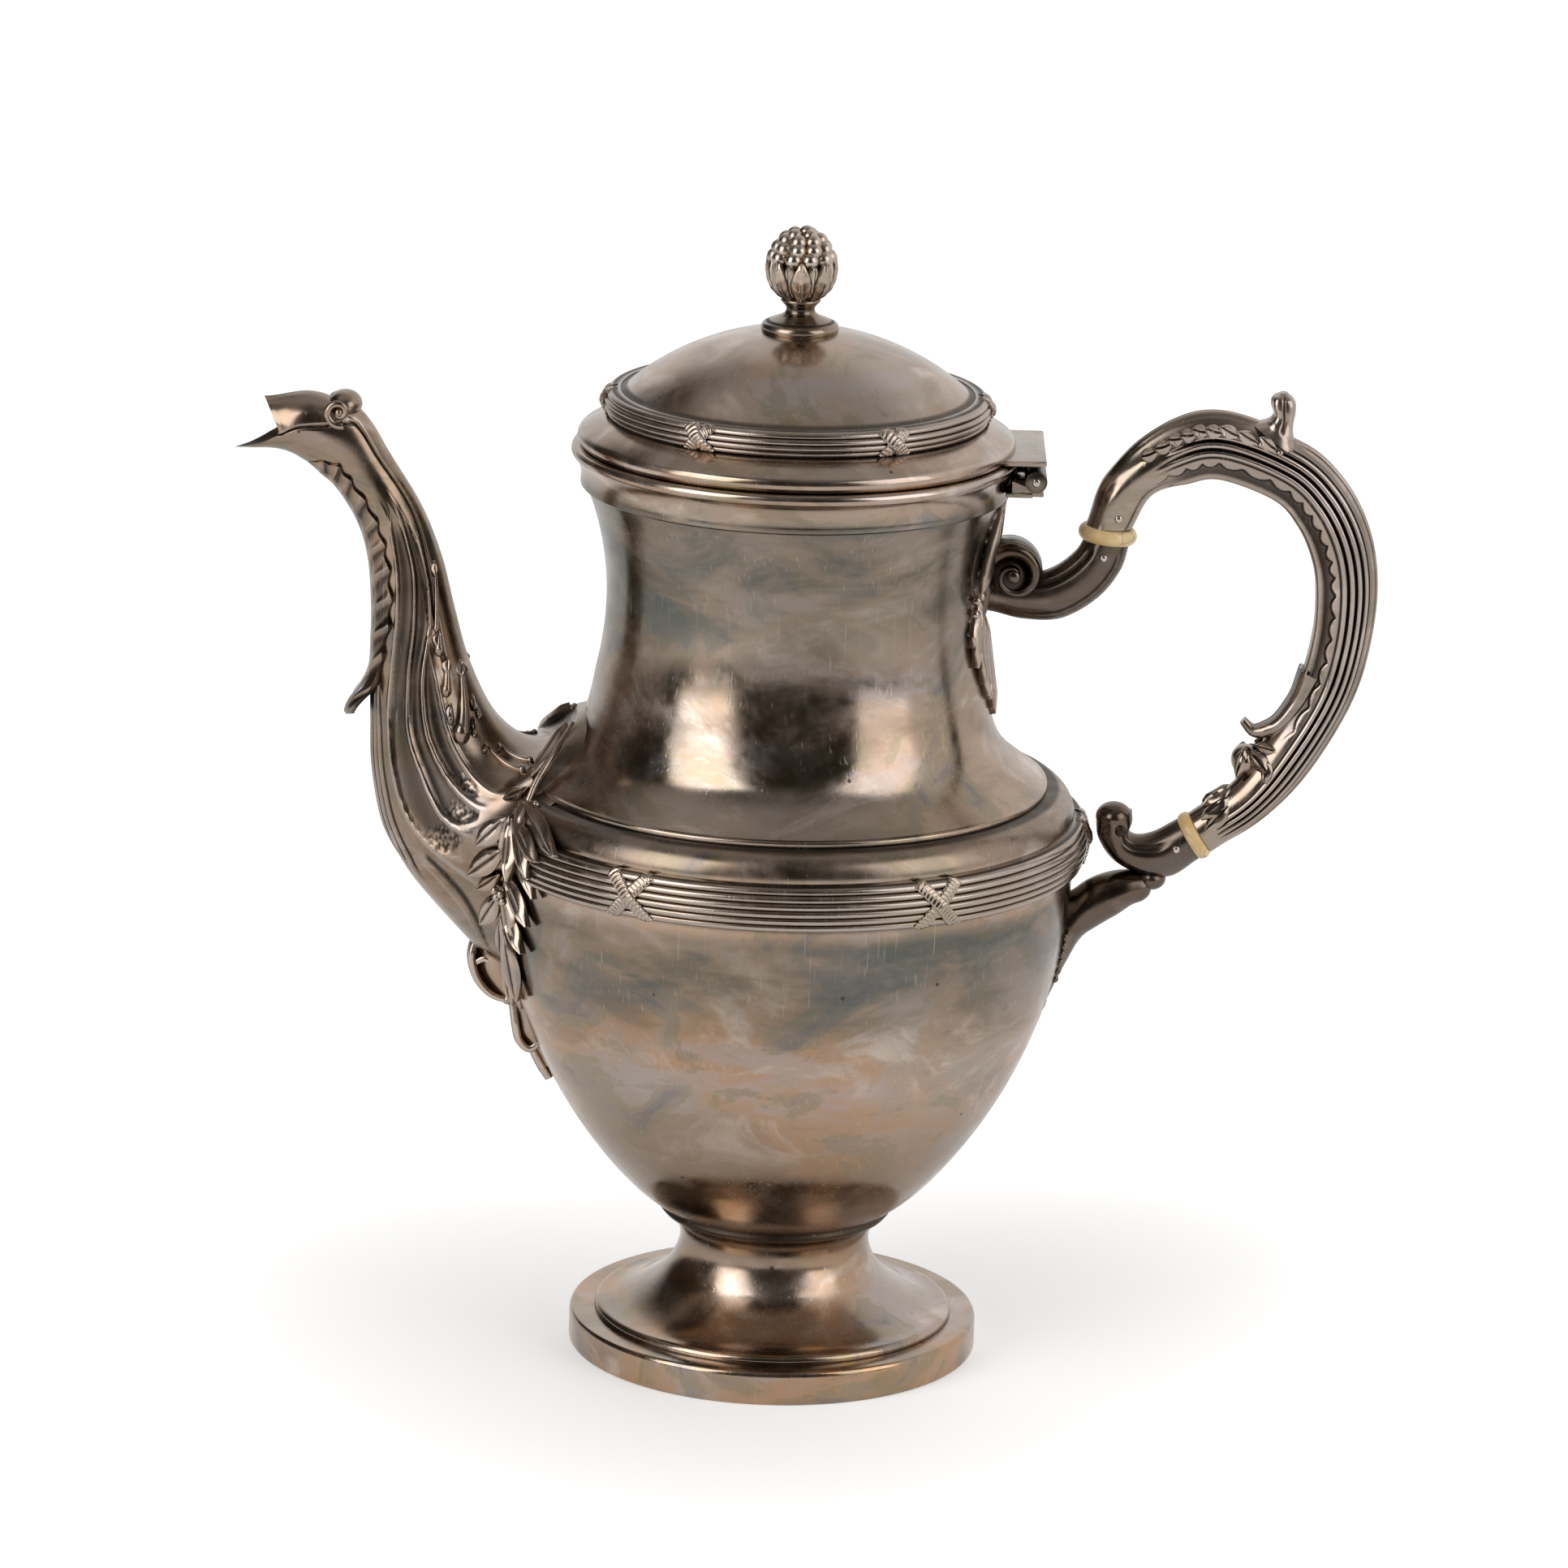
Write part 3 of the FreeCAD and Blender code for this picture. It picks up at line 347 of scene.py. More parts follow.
# colours of the tarnish: clouds, wiped streaks, zones by height, recesses and worn places; the recess colour
# also paints shade where a piece lowers its relief for it
tone = {
    "grey": (0.355, 0.290, 0.240, 1),
    "brown": (0.430, 0.258, 0.148, 1),
    "pale": (0.600, 0.500, 0.430, 1),
    "slate": (0.150, 0.148, 0.142, 1),
    "olive": (0.235, 0.205, 0.115, 1),
    "lilac": (0.400, 0.355, 0.360, 1),
    "streak": (0.245, 0.155, 0.095, 1),
    "cool": (0.098, 0.104, 0.098, 1),
    "coolBrown": (0.140, 0.122, 0.092, 1),
    "base": (0.225, 0.155, 0.100, 1),
    "soot": (0.030, 0.025, 0.021, 1),
    "worn": (0.560, 0.510, 0.470, 1),
    "scratch": (0.62, 0.58, 0.54, 1),
    "pit": (0.05, 0.04, 0.035, 1),
}
# heights in metres at which a zone starts, is full, is still full and ends; warm runs from weak to full
zone = {
    "warm": (0.125, 0.085),
    "bowl": (0.076, 0.101, 0.108, 0.112),
    "neck": (0.150, 0.176, 0.194, 0.199),
    "base": (0.014, 0.032, 0.048, 0.072),
}
# wiped lines: how far they are drawn out, and each direction with its strength
scratchLook = {
    "stretch": (1500.0, 1500.0, 26.0),
    "ways": [((0.2, 0.6, 0.3), 1.0), ((0.9, -0.5, 1.2), 0.8), ((-0.6, 0.2, -0.9), 0.7)],
}


# fine wiped lines in three directions, each from noise drawn out along a line and kept in patches
def scratches(tree, spot):
    total = 0.0
    for turn, strong in scratchLook["ways"]:
        lines = noise(tree, stretched(tree, spot, scratchLook["stretch"], turn), 1.0, 1.0, 0.5)
        there = noise(tree, stretched(tree, spot, (1.0, 1.0, 1.0), turn), 70.0, 2.0, 0.5)
        mask = times(tree, span(tree, lines, 0.66, 0.74), span(tree, there, 0.45, 0.65, 0.15, strong))
        total = mathNode(tree, "MAXIMUM", total, mask)
    return total


# rare small pits: cells of which a few carry a dot
def pits(tree, spot):
    cells = addNode(tree, "ShaderNodeTexVoronoi", {"feature": "F1"}, Vector=spot, Scale=150.0)
    draw = addNode(tree, "ShaderNodeSeparateColor", None, Color=cells.outputs["Color"]).outputs[0]
    return times(tree, span(tree, draw, 0.90, 0.91), span(tree, cells.outputs["Distance"], 0.085, 0.05))


# cloudy tarnish laid on in layers: each is a mask of noise, height or relief and the colour that it brings
def tarnishGroup():
    tree, put, out = newGroup(
        "tarnish", {"Relief": 0.0, "Clean": 0.0, "Warm": 0.5, "Soot": 0.5, "Zones": 0.0},
        {"Color": "NodeSocketColor", "Roughness": "NodeSocketFloat", "Height": "NodeSocketFloat"})
    spot = addNode(tree, "ShaderNodeTexCoord").outputs["Object"]
    up = addNode(tree, "ShaderNodeSeparateXYZ", None, Vector=spot).outputs[2]
    broad = noise(tree, spot, 19.0, 4.0, 0.58, 0.6)
    patch = noise(tree, stretched(tree, spot, (1.0, 1.0, 1.6), (0.3, 0.5, 0.2)), 34.0, 5.0, 0.62, 0.9)
    haze = noise(tree, spot, 150.0, 5.0, 0.6, 0.3)
    grain = noise(tree, spot, 1900.0, 2.0, 0.6)
    wipe = noise(tree, stretched(tree, spot, (0.35, 0.35, 1.0), (0.0, 0.75, 0.3)), 95.0, 4.0, 0.62, 0.4)
    low, high = span(tree, put["Relief"], -0.05, -0.85), span(tree, put["Relief"], 0.15, 0.95)
    scratch, pit = scratches(tree, spot), pits(tree, spot)
    warmth = times(tree, span(tree, broad, 0.38, 0.56), put["Warm"])
    warmth = times(tree, warmth, span(tree, up, *zone["warm"], 0.45, 1.0))
    cool = mathNode(tree, "ADD", between(tree, up, zone["bowl"]), between(tree, up, zone["neck"]), clamp=True)
    cool = times(tree, times(tree, cool, put["Zones"]), span(tree, wipe, 0.32, 0.60, 0.98, 0.55))
    coolTone = mixColor(tree, span(tree, patch, 0.42, 0.58), tone["cool"], tone["coolBrown"])
    base = times(tree, times(tree, between(tree, up, zone["base"]), 0.75), put["Zones"])
    color = mixColor(tree, warmth, tone["grey"], tone["brown"])
    for mask, shade in (
        (span(tree, wipe, 0.50, 0.68, 0.0, 0.55), tone["lilac"]),
        (span(tree, wipe, 0.47, 0.34, 0.0, 0.50), tone["streak"]),
        (span(tree, patch, 0.54, 0.68, 0.0, 0.80), tone["pale"]),
        (span(tree, patch, 0.46, 0.32, 0.0, 0.80), tone["slate"]),
        (times(tree, hollow(tree, patch, 0.43, 0.05), 0.55), tone["olive"]),
        (span(tree, haze, 0.35, 0.65, 0.0, 0.25), tone["grey"]),
        (times(tree, put["Clean"], 0.55), tone["pale"]),
        (cool, coolTone),
        (base, tone["base"]),
        # the recess colour over low relief: tarnish in hollows, and painted shade where a piece lowers its
        # relief for shade, as on the bowl's shoulder
        (times(tree, low, put["Soot"]), tone["soot"]),
        (times(tree, high, 0.55), tone["worn"]),
        (times(tree, scratch, 0.22), tone["scratch"]),
        (times(tree, pit, 0.8), tone["pit"]),
    ):
        color = mixColor(tree, mask, color, shade)
    rough = mathNode(tree, "ADD", span(tree, haze, 0.3, 0.7, -0.05, 0.06),
                     span(tree, patch, 0.35, 0.7, -0.03, 0.08))
    for value, share in ((low, 0.25), (scratch, 0.10)):
        rough = mathNode(tree, "MULTIPLY_ADD", value, share, rough)
    bump = times(tree, grain, 0.12)
    for value, share in ((scratch, -0.5), (pit, -1.5), (haze, 0.6)):
        bump = mathNode(tree, "MULTIPLY_ADD", value, share, bump)
    for label, value in (("Color", color), ("Roughness", rough), ("Height", bump)):
        tree.links.new(value, out[label])
    return tree


tarnish = tarnishGroup()
grainDepth = 0.00006  # height of the tarnish bump at full strength, metres

# silver finishes: material, shares cleaned, warm and sooty (the sooty share also scales painted shade),
# roughness, bump strength, zones by height, shade
silver = {
    "vessel": ("rolledSilver", 0.05, 0.95, 0.80, 0.19, 0.25, 1.0, (1, 1, 1)),
    "band": ("reededSilver", 0.30, 0.55, 0.90, 0.22, 0.20, 0.0, (0.84, 0.84, 0.84)),
    "cast": ("castSilver", 0.00, 0.75, 0.94, 0.21, 0.30, 0.0, (0.76, 0.745, 0.73)),
    "socket": ("darkSilver", 0.00, 0.60, 0.92, 0.22, 0.30, 0.0, (0.35, 0.34, 0.33)),
    "grip": ("gripSilver", 0.30, 0.45, 0.97, 0.19, 0.25, 0.0, (0.85, 0.85, 0.85)),
    "chased": ("chasedSilver", 0.40, 0.65, 0.85, 0.24, 0.35, 0.0, (1, 1, 1)),
    "pin": ("pinSilver", 0.95, 0.30, 0.80, 0.14, 0.15, 0.0, (1, 1, 1)),
}


# polished metal under the shared tarnish, its colour multiplied by the finish's shade
def silverFinish(name, clean, warm, soot, rough, bump, zones, shade):
    material, tree, shader = newMaterial(name)
    group = addNode(tree, "ShaderNodeGroup", {"node_tree": tarnish}, Relief=reliefOf(tree), Clean=clean,
                    Warm=warm, Soot=soot, Zones=zones).outputs
    color = mixColor(tree, 1.0, group["Color"], (*shade, 1), "MULTIPLY")
    normal = addNode(tree, "ShaderNodeBump", None, Height=group["Height"], Strength=bump, Distance=grainDepth)
    tree.links.new(color, shader.inputs["Base Color"])
    tree.links.new(mathNode(tree, "ADD", group["Roughness"], rough, clamp=True), shader.inputs["Roughness"])
    tree.links.new(normal.outputs[0], shader.inputs["Normal"])
    shader.inputs["Metallic"].default_value = 1.0
    return material


ivoryLook = {
    "yellow": (0.74, 0.50, 0.21, 1),
    "cream": (0.82, 0.62, 0.34, 1),
    "line": (0.62, 0.47, 0.27, 1),
    "crack": (0.24, 0.15, 0.07, 1),
    "recess": (0.35, 0.22, 0.10, 1),
    "bump": 0.35,
    "bumpDepth": 0.00008,
    "softness": 0.12,
    "softReach": (0.002, 0.0014, 0.0008),
}


# cream ivory with growth lines across and hair cracks, browner in its recesses
def ivoryFinish():
    material, tree, shader = newMaterial("agedIvory")
    spot = addNode(tree, "ShaderNodeTexCoord").outputs["Object"]
    lines = noise(tree, stretched(tree, spot, (1.0, 0.25, 1.0), (0.0, 0.6, 0.0)), 900.0, 3.0, 0.6, 0.4)
    cloud = noise(tree, spot, 180.0, 3.0)
    cracks = addNode(tree, "ShaderNodeTexVoronoi", {"feature": "DISTANCE_TO_EDGE"}, Vector=spot, Scale=210.0)
    crack = times(tree, span(tree, cracks.outputs["Distance"], 0.025, 0.0), span(tree, cloud, 0.5, 0.6))
    color = mixColor(tree, span(tree, cloud, 0.35, 0.65), ivoryLook["yellow"], ivoryLook["cream"])
    for mask, shade in ((span(tree, lines, 0.5, 0.75, 0.0, 0.45), "line"), (crack, "crack"),
                        (span(tree, reliefOf(tree), -0.1, -0.9, 0.0, 0.75), "recess")):
        color = mixColor(tree, mask, color, ivoryLook[shade])
    height = mathNode(tree, "SUBTRACT", times(tree, lines, 0.3), crack)
    normal = addNode(tree, "ShaderNodeBump", None, Height=height, Strength=ivoryLook["bump"],
                     Distance=ivoryLook["bumpDepth"])
    tree.links.new(color, shader.inputs["Base Color"])
    tree.links.new(span(tree, lines, 0.3, 0.8, 0.26, 0.42), shader.inputs["Roughness"])
    tree.links.new(normal.outputs[0], shader.inputs["Normal"])
    shader.inputs["Subsurface Weight"].default_value = ivoryLook["softness"]
    shader.inputs["Subsurface Radius"].default_value = ivoryLook["softReach"]
    return material


finish = {key: silverFinish(*look) for key, look in silver.items()}
finish["ivory"] = ivoryFinish()
print("finishes made:", len(finish))

# foot: a square-edged rim under a trumpet pedestal with a rolled edge
foot = {
    "rimRadius": nodeBox("foot_rim")[1][0],
    "rimWidth": 3.2,
    "edge": 0.9,
    "seatWidth": 4.0,
    "skirtRadius": 39.6,
    "skirtRoll": 1.8,
    "stemRadius": 20.9,
    "stemRise": 17.6,
    "cupRadius": 25.6,
    "cupRise": 6.2,
}


# the rim's closed outline with rounded corners, turned about the axis
def footRim():
    top, out = level["footTop"], foot["rimRadius"]
    inner, ledge = out - foot["rimWidth"], foot["skirtRadius"] - foot["seatWidth"]
    outline = rounded(
        [(ledge, top), (out - 0.4, top), (out, top - foot["edge"]), (out, 0.0), (inner, 0.0),
         (inner, top - wall), (ledge, top - wall)], [0.0, 0.8, 0.8, 0.7, 0.5, 0.4, 0.0])
    return [lathe(fine(outline, 1.2))]


# an arc for the lip, a smooth sweep from skirt to stem to cup, and the same sweep one wall further in
def footPedestal():
    top, skirt, roll = level["footTop"], foot["skirtRadius"], foot["skirtRoll"]
    waist, cup = foot["stemRadius"], foot["cupRadius"]
    inner, edge = skirt - roll, top + roll
    stem = top + foot["stemRise"]
    brim = stem + foot["cupRise"]
    lip = arc((skirt - 0.2, top + 0.02), (skirt - 0.25 * roll, top + 0.75 * roll), (inner, edge), 8)
    sweep = smoothRows([
        (inner, edge), (inner - 1.4, edge + 0.1), (waist * 1.38, edge + 3.5), (waist * 1.09, edge + 9.2),
        (waist, stem), (waist * 1.06, stem + 3.6), (cup - 0.9, brim - 0.9)], 60)
    head = [(cup, brim + 0.2), (cup - 0.5, brim + 1.2), (cup - 2.2, brim + 1.3)]
    inside = beside(sweep, -wall)[::-1]
    outline = np.concatenate([lip, sweep[1:], head, inside, [(inner - 1.2, top + 0.02)]])
    z = outline[:, 1]
    return [lathe(outline, -0.9 * ease(stem + 4.8, stem + 6.0, z) - 0.8 * ease(top + 0.5, top, z))]


makePiece("footRim", footRim(), "foot_rim", finish["vessel"])
makePiece("footPedestal", footPedestal(), "foot_pedestal", finish["vessel"])

# bowl: a long side arc running into a small bottom arc, with an ovolo shoulder above the band
bowl = {
    "radius": 62.8,
    "sideArc": 107.7,
    "bottomArc": 46.9,
    "shoulderRadius": 58.5,
    "mouthRadius": 51.5,
}
wide = level["bandLow"]  # height of the bowl's widest place


# the bottom arc and the side arc, which meet with one slope, moved in by an inset
def bowlProfile(inset):
    side, bottom = bowl["sideArc"], bowl["bottomArc"]
    sink = side - bowl["radius"]
    bottomLevel = level["bowlBase"] + bottom
    bend = math.asin((wide - bottomLevel) / (side - bottom))
    low = np.linspace(math.pi / 2 - 0.01, bend, 40)[:, None]
    high = np.linspace(bend, 0, 60)[1:, None]
    a = np.array([0, bottomLevel]) + (bottom - inset) * np.concatenate([np.cos(low), -np.sin(low)], 1)
    b = np.array([-sink, wide]) + (side - inset) * np.concatenate([np.cos(high), -np.sin(high)], 1)
    return np.concatenate([a, b])


# the ovolo above the band: an arc pushed out from the line between its ends
def shoulderProfile(inset):
    a = np.array([bowl["radius"] - inset, level["bandHigh"]])
    c = np.array([bowl["shoulderRadius"] - inset, level["shoulder"] - inset])
    return arc(a, (a + c) / 2 + (1.1, 0.8), c, 14)


# outside from the base up, a ledge under the neck, the inside back down; soot by the band and at the ledge
# under the neck, and painted shade over the whole shoulder above the band
def bowlShell():
    mouth, top, band = bowl["mouthRadius"], level["shoulder"], level["bandHigh"]
    outline = np.concatenate([bowlProfile(0), shoulderProfile(0), [(mouth, top), (mouth, top - wall)],
                              shoulderProfile(wall)[::-1], bowlProfile(wall)[::-1]])
    r, z = outline.T
    # painted shade: the relief over the whole shoulder above the band is lowered by 0.38 so that it renders
    # darker; the hump just below the band and the ledge term below are soot at the joints
    soot = -0.7 * hump(z, level["bandLow"] - 0.2, 1.2) - 0.38 * ease(band, band + 1.5, z)
    ledge = bowl["shoulderRadius"]
    soot -= 0.8 * ease(ledge + 1.5, ledge - 0.5, r) * ease(top - 0.8, top, z)
    return [tube(turned(outline), soot[:, None])]


makePiece("bowl", bowlShell(), "bowl", finish["vessel"])

# neck: a waisted sleeve from the shoulder to the rim, radius and rise above the shoulder
neck = {"rows": [(56.2, 1.2), (47.0, 9.2), (42.0, 25.2), (40.3, 43.2), (43.4, 60.5), (45.2, 65.4)]}


# a smooth curve through the neck's rows
def neckProfile(count=140):
    return smoothRows(np.array(neck["rows"]) + (0, level["shoulder"]), count)


# a small step at the foot, the waisted outside, the rim, and the inside one wall further in
def neckSleeve():
    outside = neckProfile()
    (r, z), mouth = outside[0], outside[-1][0]
    low, rim = level["shoulder"], level["rim"]
    step = rounded([(r - 2.0, low), (r + 0.5, low), (r + 0.45, z), (r - 0.4, z + 0.35)], 0.35, False)
    top = [(mouth, rim - 0.15), (mouth - 0.15, rim), (mouth - wall, rim)]
    outline = np.concatenate([step, outside[1:], top, beside(outside, -wall)[::-1]])
    height = outline[:, 1]
    return [lathe(outline, -0.9 * hump(height, low, 0.7) - 0.9 * hump(height, level["collar"], 0.6))]


makePiece("neck", neckSleeve(), "neck", finish["vessel"])

# mouth collar: a cavetto that flares from a small step to a rounded lip
collar = {"foot": 1.2, "lip": 3.1, "step": 1.0}


# two arcs: the hollow flare from the step, then the round of the lip
def mouthCollar():
    mouth = neck["rows"][-1][0]
    low, high = level["collar"], level["rim"]
    footR, lipR = mouth + collar["foot"], mouth + collar["lip"]
    flare = arc((footR, low + collar["step"]), (footR + 0.5, (low + high) / 2 + 0.4), (lipR, high - 2.0), 18)
    lip = arc((lipR, high - 2.0), (lipR + 0.2, high - 1.0), (lipR - 0.5, high), 10)
    start = [(mouth, low), (footR - 0.3, low), (footR, low + 0.3)]
    outline = np.concatenate([start, flare, lip[1:], [(mouth, high)]])
    return [lathe(outline, -0.7 * hump(outline[:, 1], low, 0.5) + 0.7 * hump(outline[:, 1], high - 0.7, 0.9))]


makePiece("mouthCollar", mouthCollar(), "mouth_collar", finish["vessel"])

# lid: sloping flange, inner sleeve, reeded band and a round cap
lid = {"flangeRadius": 47.2, "flangeEdge": 3.0, "bezelGap": 0.9, "bandRadius": 38.5, "domeRadius": 37.3}


# a rounded edge, a slope as an arc up to the band's seat, and a flat underside
def lidFlange():
    out, low, high = lid["flangeRadius"], level["flange"], level["lidBandLow"]
    inner = neck["rows"][-1][0] - wall - lid["bezelGap"] - wall
    shelf, seat = lid["bandRadius"] - wall, lid["bandRadius"] + 2.4
    edge = low + lid["flangeEdge"]
    roll = arc((out - 0.7, low), (out, (low + edge) / 2), (out - 0.7, edge), 10)
    slope = arc((out - 0.7, edge), (out - 3.6, edge + 1.75), (seat, high), 14)
    under = [(shelf, high), (shelf, high - wall), (inner, low + wall), (inner, low)]
    outline = np.concatenate([roll, slope[1:], under])
    return [lathe(outline, 0.6 * hump(outline[:, 1], edge - 0.3, 0.8) - 0.9 * hump(outline[:, 0], seat, 0.7))]


# a plain sleeve that enters the mouth
def lidBezel():
    outer, top = neck["rows"][-1][0] - wall - lid["bezelGap"], level["flange"]
    low = nodeBox("lid_bezel")[0][2]
    corners = [(outer, top), (outer - wall, top), (outer - wall, low), (outer, low)]
    return [lathe(fine(rounded(corners, [0.0, 0.0, 0.4, 0.4]), 1.0))]


# the cap of a ball whose radius follows from the dome's width and rise, moved in by an inset
def domeProfile(inset):
    rise = level["domeTop"] - level["lidBandHigh"]
    size = (lid["domeRadius"] ** 2 + rise**2) / (2 * rise)
    turn = np.linspace(math.asin((lid["domeRadius"] - inset) / (size - inset)), 0.01, 60)[:, None]
    reach = (size - inset) * np.concatenate([np.sin(turn), np.cos(turn)], 1)
    return reach + (0, level["domeTop"] - size)


# the cap's inside, its skirt behind the band, and the cap's outside
def lidDome():
    skirt, low, high = lid["bandRadius"], level["lidBandLow"], level["lidBandHigh"]
    ledge = [(skirt - wall, low), (skirt, low), (skirt, high - 0.2)]
    outline = np.concatenate([domeProfile(wall)[::-1], ledge, domeProfile(0)])
    edge = lid["domeRadius"]
    soot = -0.9 * ease(edge - 1.1, edge - 0.1, outline[:, 0]) * ease(high - 1, high, outline[:, 1])
    return [tube(turned(outline), soot[:, None])]


makePiece("lidFlange", lidFlange(), "lid_flange", finish["vessel"])
makePiece("lidBezel", lidBezel(), "lid_bezel", finish["vessel"])
makePiece("lidDome", lidDome(), "lid_dome", finish["vessel"])
print("turned shells done")

# reeded bands: half-round reeds side by side over a swelling outline
bellyBand = {
    "seat": bowl["radius"], "low": level["bandLow"], "high": level["bandHigh"], "bulge": 1.7, "reeds": 6,
    "rise": 0.77, "openTurn": 31.0,
}
lidBand = {
    "seat": lid["bandRadius"], "low": level["lidBandLow"], "high": level["lidBandHigh"], "bulge": 1.6,
    "reeds": 4, "rise": 0.8, "openTurn": 0.0,
}


# radius of a band's outline at a share of its height, before the reeds
def bandSwell(band, share):
    return band["seat"] + band["rise"] + band["bulge"] * np.sin(math.pi * (0.1 + 0.8 * share))


# the outline carries half circles of a reed's height and turns round the axis, open at the spout where stated
def reededBand(band, steps=288, perReed=9):
    share = np.linspace(0, 1, band["reeds"] * perReed + 1)
    within = np.abs(np.mod(share * band["reeds"], 1.0) - 0.5) * 2
    reed = np.sqrt(np.maximum(0.0, 1 - within**2))
    height = band["high"] - band["low"]
    profile = np.stack([bandSwell(band, share) + band["rise"] * reed, band["low"] + height * share], -1)
    back = band["seat"] - 0.3
    outline = np.concatenate([profile, [(back, band["high"]), (back, band["low"])]])
    relief = np.concatenate([np.where(reed < 0.45, -0.95, 0.75 * ease(0.75, 1.0, reed)), [0.0, 0.0]])
    whole = band["openTurn"] == 0
    reach = math.pi - math.radians(band["openTurn"])
    a = np.linspace(-reach, reach, steps, endpoint=not whole)[:, None]
    r, z = outline[:, 0], outline[:, 1]
    grid = np.stack([r * np.cos(a), r * np.sin(a), z + 0 * a], -1)
    return [skin(grid, whole, True, (not whole, not whole), relief[None, :])]


makePiece("bellyBand", reededBand(bellyBand), "belly_band", finish["band"], 60)
makePiece("lidBand", reededBand(lidBand), "lid_band", finish["band"], 60)

# crossed ribbons: two pleated straps at each crossing, the second lifted over the first
ribbon = {"width": 2.9, "thick": 0.53, "lean": 42.0, "pleat": 0.13, "pitch": 0.95, "every": 60.0}


# a strap laid over a band: along it by s, across it by w, its height above the reeds from a rounded section
def strap(band, turn, lean, lift):
    height = band["high"] - band["low"]
    tilt = math.radians(lean)
    half = (height / 2 + 0.25) / math.cos(tilt)
    s = np.linspace(-half, half, 75)[:, None]
    ring = ringAngles(20)
    w = np.sign(np.cos(ring)) * np.abs(np.cos(ring)) ** 0.55 * ribbon["width"] / 2
    up = np.sin(ring)
    across = s * math.sin(tilt) + w * math.cos(tilt)
    rise = s * math.cos(tilt) - w * math.sin(tilt)
    share = np.clip(rise / height + 0.5, -0.03, 1.03)
    ends = ease(-0.04, 0.05, share) * ease(1.04, 0.95, share)
    over = lift * np.exp(-((s / 1.9) ** 2))
    pleats = ribbon["pleat"] * np.cos(2 * math.pi * (s + 0.35 * np.abs(w)) / ribbon["pitch"])
    top = np.maximum(up, 0) ** 0.5
    radius = bandSwell(band, share) + band["rise"] * (0.35 + 0.6 * ends) + over * 0.9
    radius = radius + top * (ribbon["thick"] + pleats) - np.maximum(-up, 0) * 1.1
    angle = math.radians(turn) + across / radius
    z = band["low"] + height * share
    grid = np.stack([radius * np.cos(angle), radius * np.sin(angle), z], -1)
    rim = ease(0.8, 1.0, np.abs(w) / (ribbon["width"] / 2))
    relief = 0.15 + 0.55 * pleats / ribbon["pleat"] * (1 - rim) + 0.35 * rim
    relief = np.where(up < -0.1, -0.8, relief)
    return tube(grid, relief)


# two straps at each turn, leaning to both sides
def crossings(band, turns):
    skins = []
    for turn in turns:
        skins += [strap(band, turn, ribbon["lean"], 0.0), strap(band, turn, -ribbon["lean"], ribbon["thick"])]
    return skins


everyTurn = np.arange(0, 360, ribbon["every"])
spoutTurn = 180  # where the spout takes the place of a crossing
makePiece("bellyRibbons", crossings(bellyBand, everyTurn[everyTurn != spoutTurn]), "belly_ribbons",
          finish["chased"])
makePiece("lidRibbons", crossings(lidBand, everyTurn), "lid_ribbons", finish["chased"])
print("bands and ribbons done")


# a point of a limb of oval sections in the upright plane: rows hold outer edge, inner edge and half depth,
# phi turns from the outer edge and lift moves the skin outward
def limbPoint(rows, u, phi, lift=0.0):
    u, phi, lift = np.broadcast_arrays(np.asarray(u, float), np.radians(phi), lift)
    row = blendRows(np.arange(len(rows)), rows, u)
    outer = np.stack([row[..., 0], 0 * u, row[..., 1]], -1)
    inner = np.stack([row[..., 2], 0 * u, row[..., 3]], -1)
    reach = np.linalg.norm(outer - inner, axis=-1) / 2
    across = unit(outer - inner) * ((reach + lift) * np.cos(phi))[..., None]
    depth = ((row[..., 4] + lift) * np.sin(phi))[..., None] * np.array([0, -1.0, 0])
    return (outer + inner) / 2 + across + depth


# a place on a limb's skin and the direction straight out of it, from short steps along and round the limb
def limbPlace(rows, u, phi, step):
    here = limbPoint(rows, u, phi)
    along = unit(limbPoint(rows, u + step, phi) - here)
    out = unit(np.cross(along, unit(limbPoint(rows, u, phi + 1.0) - here)))
    heart = (limbPoint(rows, u, 0.0) + limbPoint(rows, u, 180.0)) / 2
    return here, out * np.sign(out @ (here - heart))


# angles round a limb with each angle's turn from the outer edge, the same on both sides
def limbTurns(sides):
    turn = np.linspace(0, 360, sides, endpoint=False)
    return turn, np.where(turn > 180, 360 - turn, turn)


# a whole limb: rings of ovals, raised and marked by a relief of row and turn
def limb(rows, count, relief=None, sides=144):
    turn, half = limbTurns(sides)
    u = np.linspace(0, len(rows) - 1, count)[:, None]
    rise, mark = relief(u, half[None, :]) if relief else (0.0, 0.0)
    return tube(limbPoint(rows, u, turn[None, :], rise), mark)


# a ball or egg by two angles, with its half sizes along the axes
def ball(place, half, count=(12, 18), relief=0.35):
    a = np.linspace(0.02, math.pi - 0.02, count[0])[:, None]
    b = ringAngles(count[1])
    unitBall = np.stack([np.sin(a) * np.cos(b), np.sin(a) * np.sin(b), np.cos(a) + 0 * b], -1)
    return tube(np.asarray(place) + unitBall * half, relief)


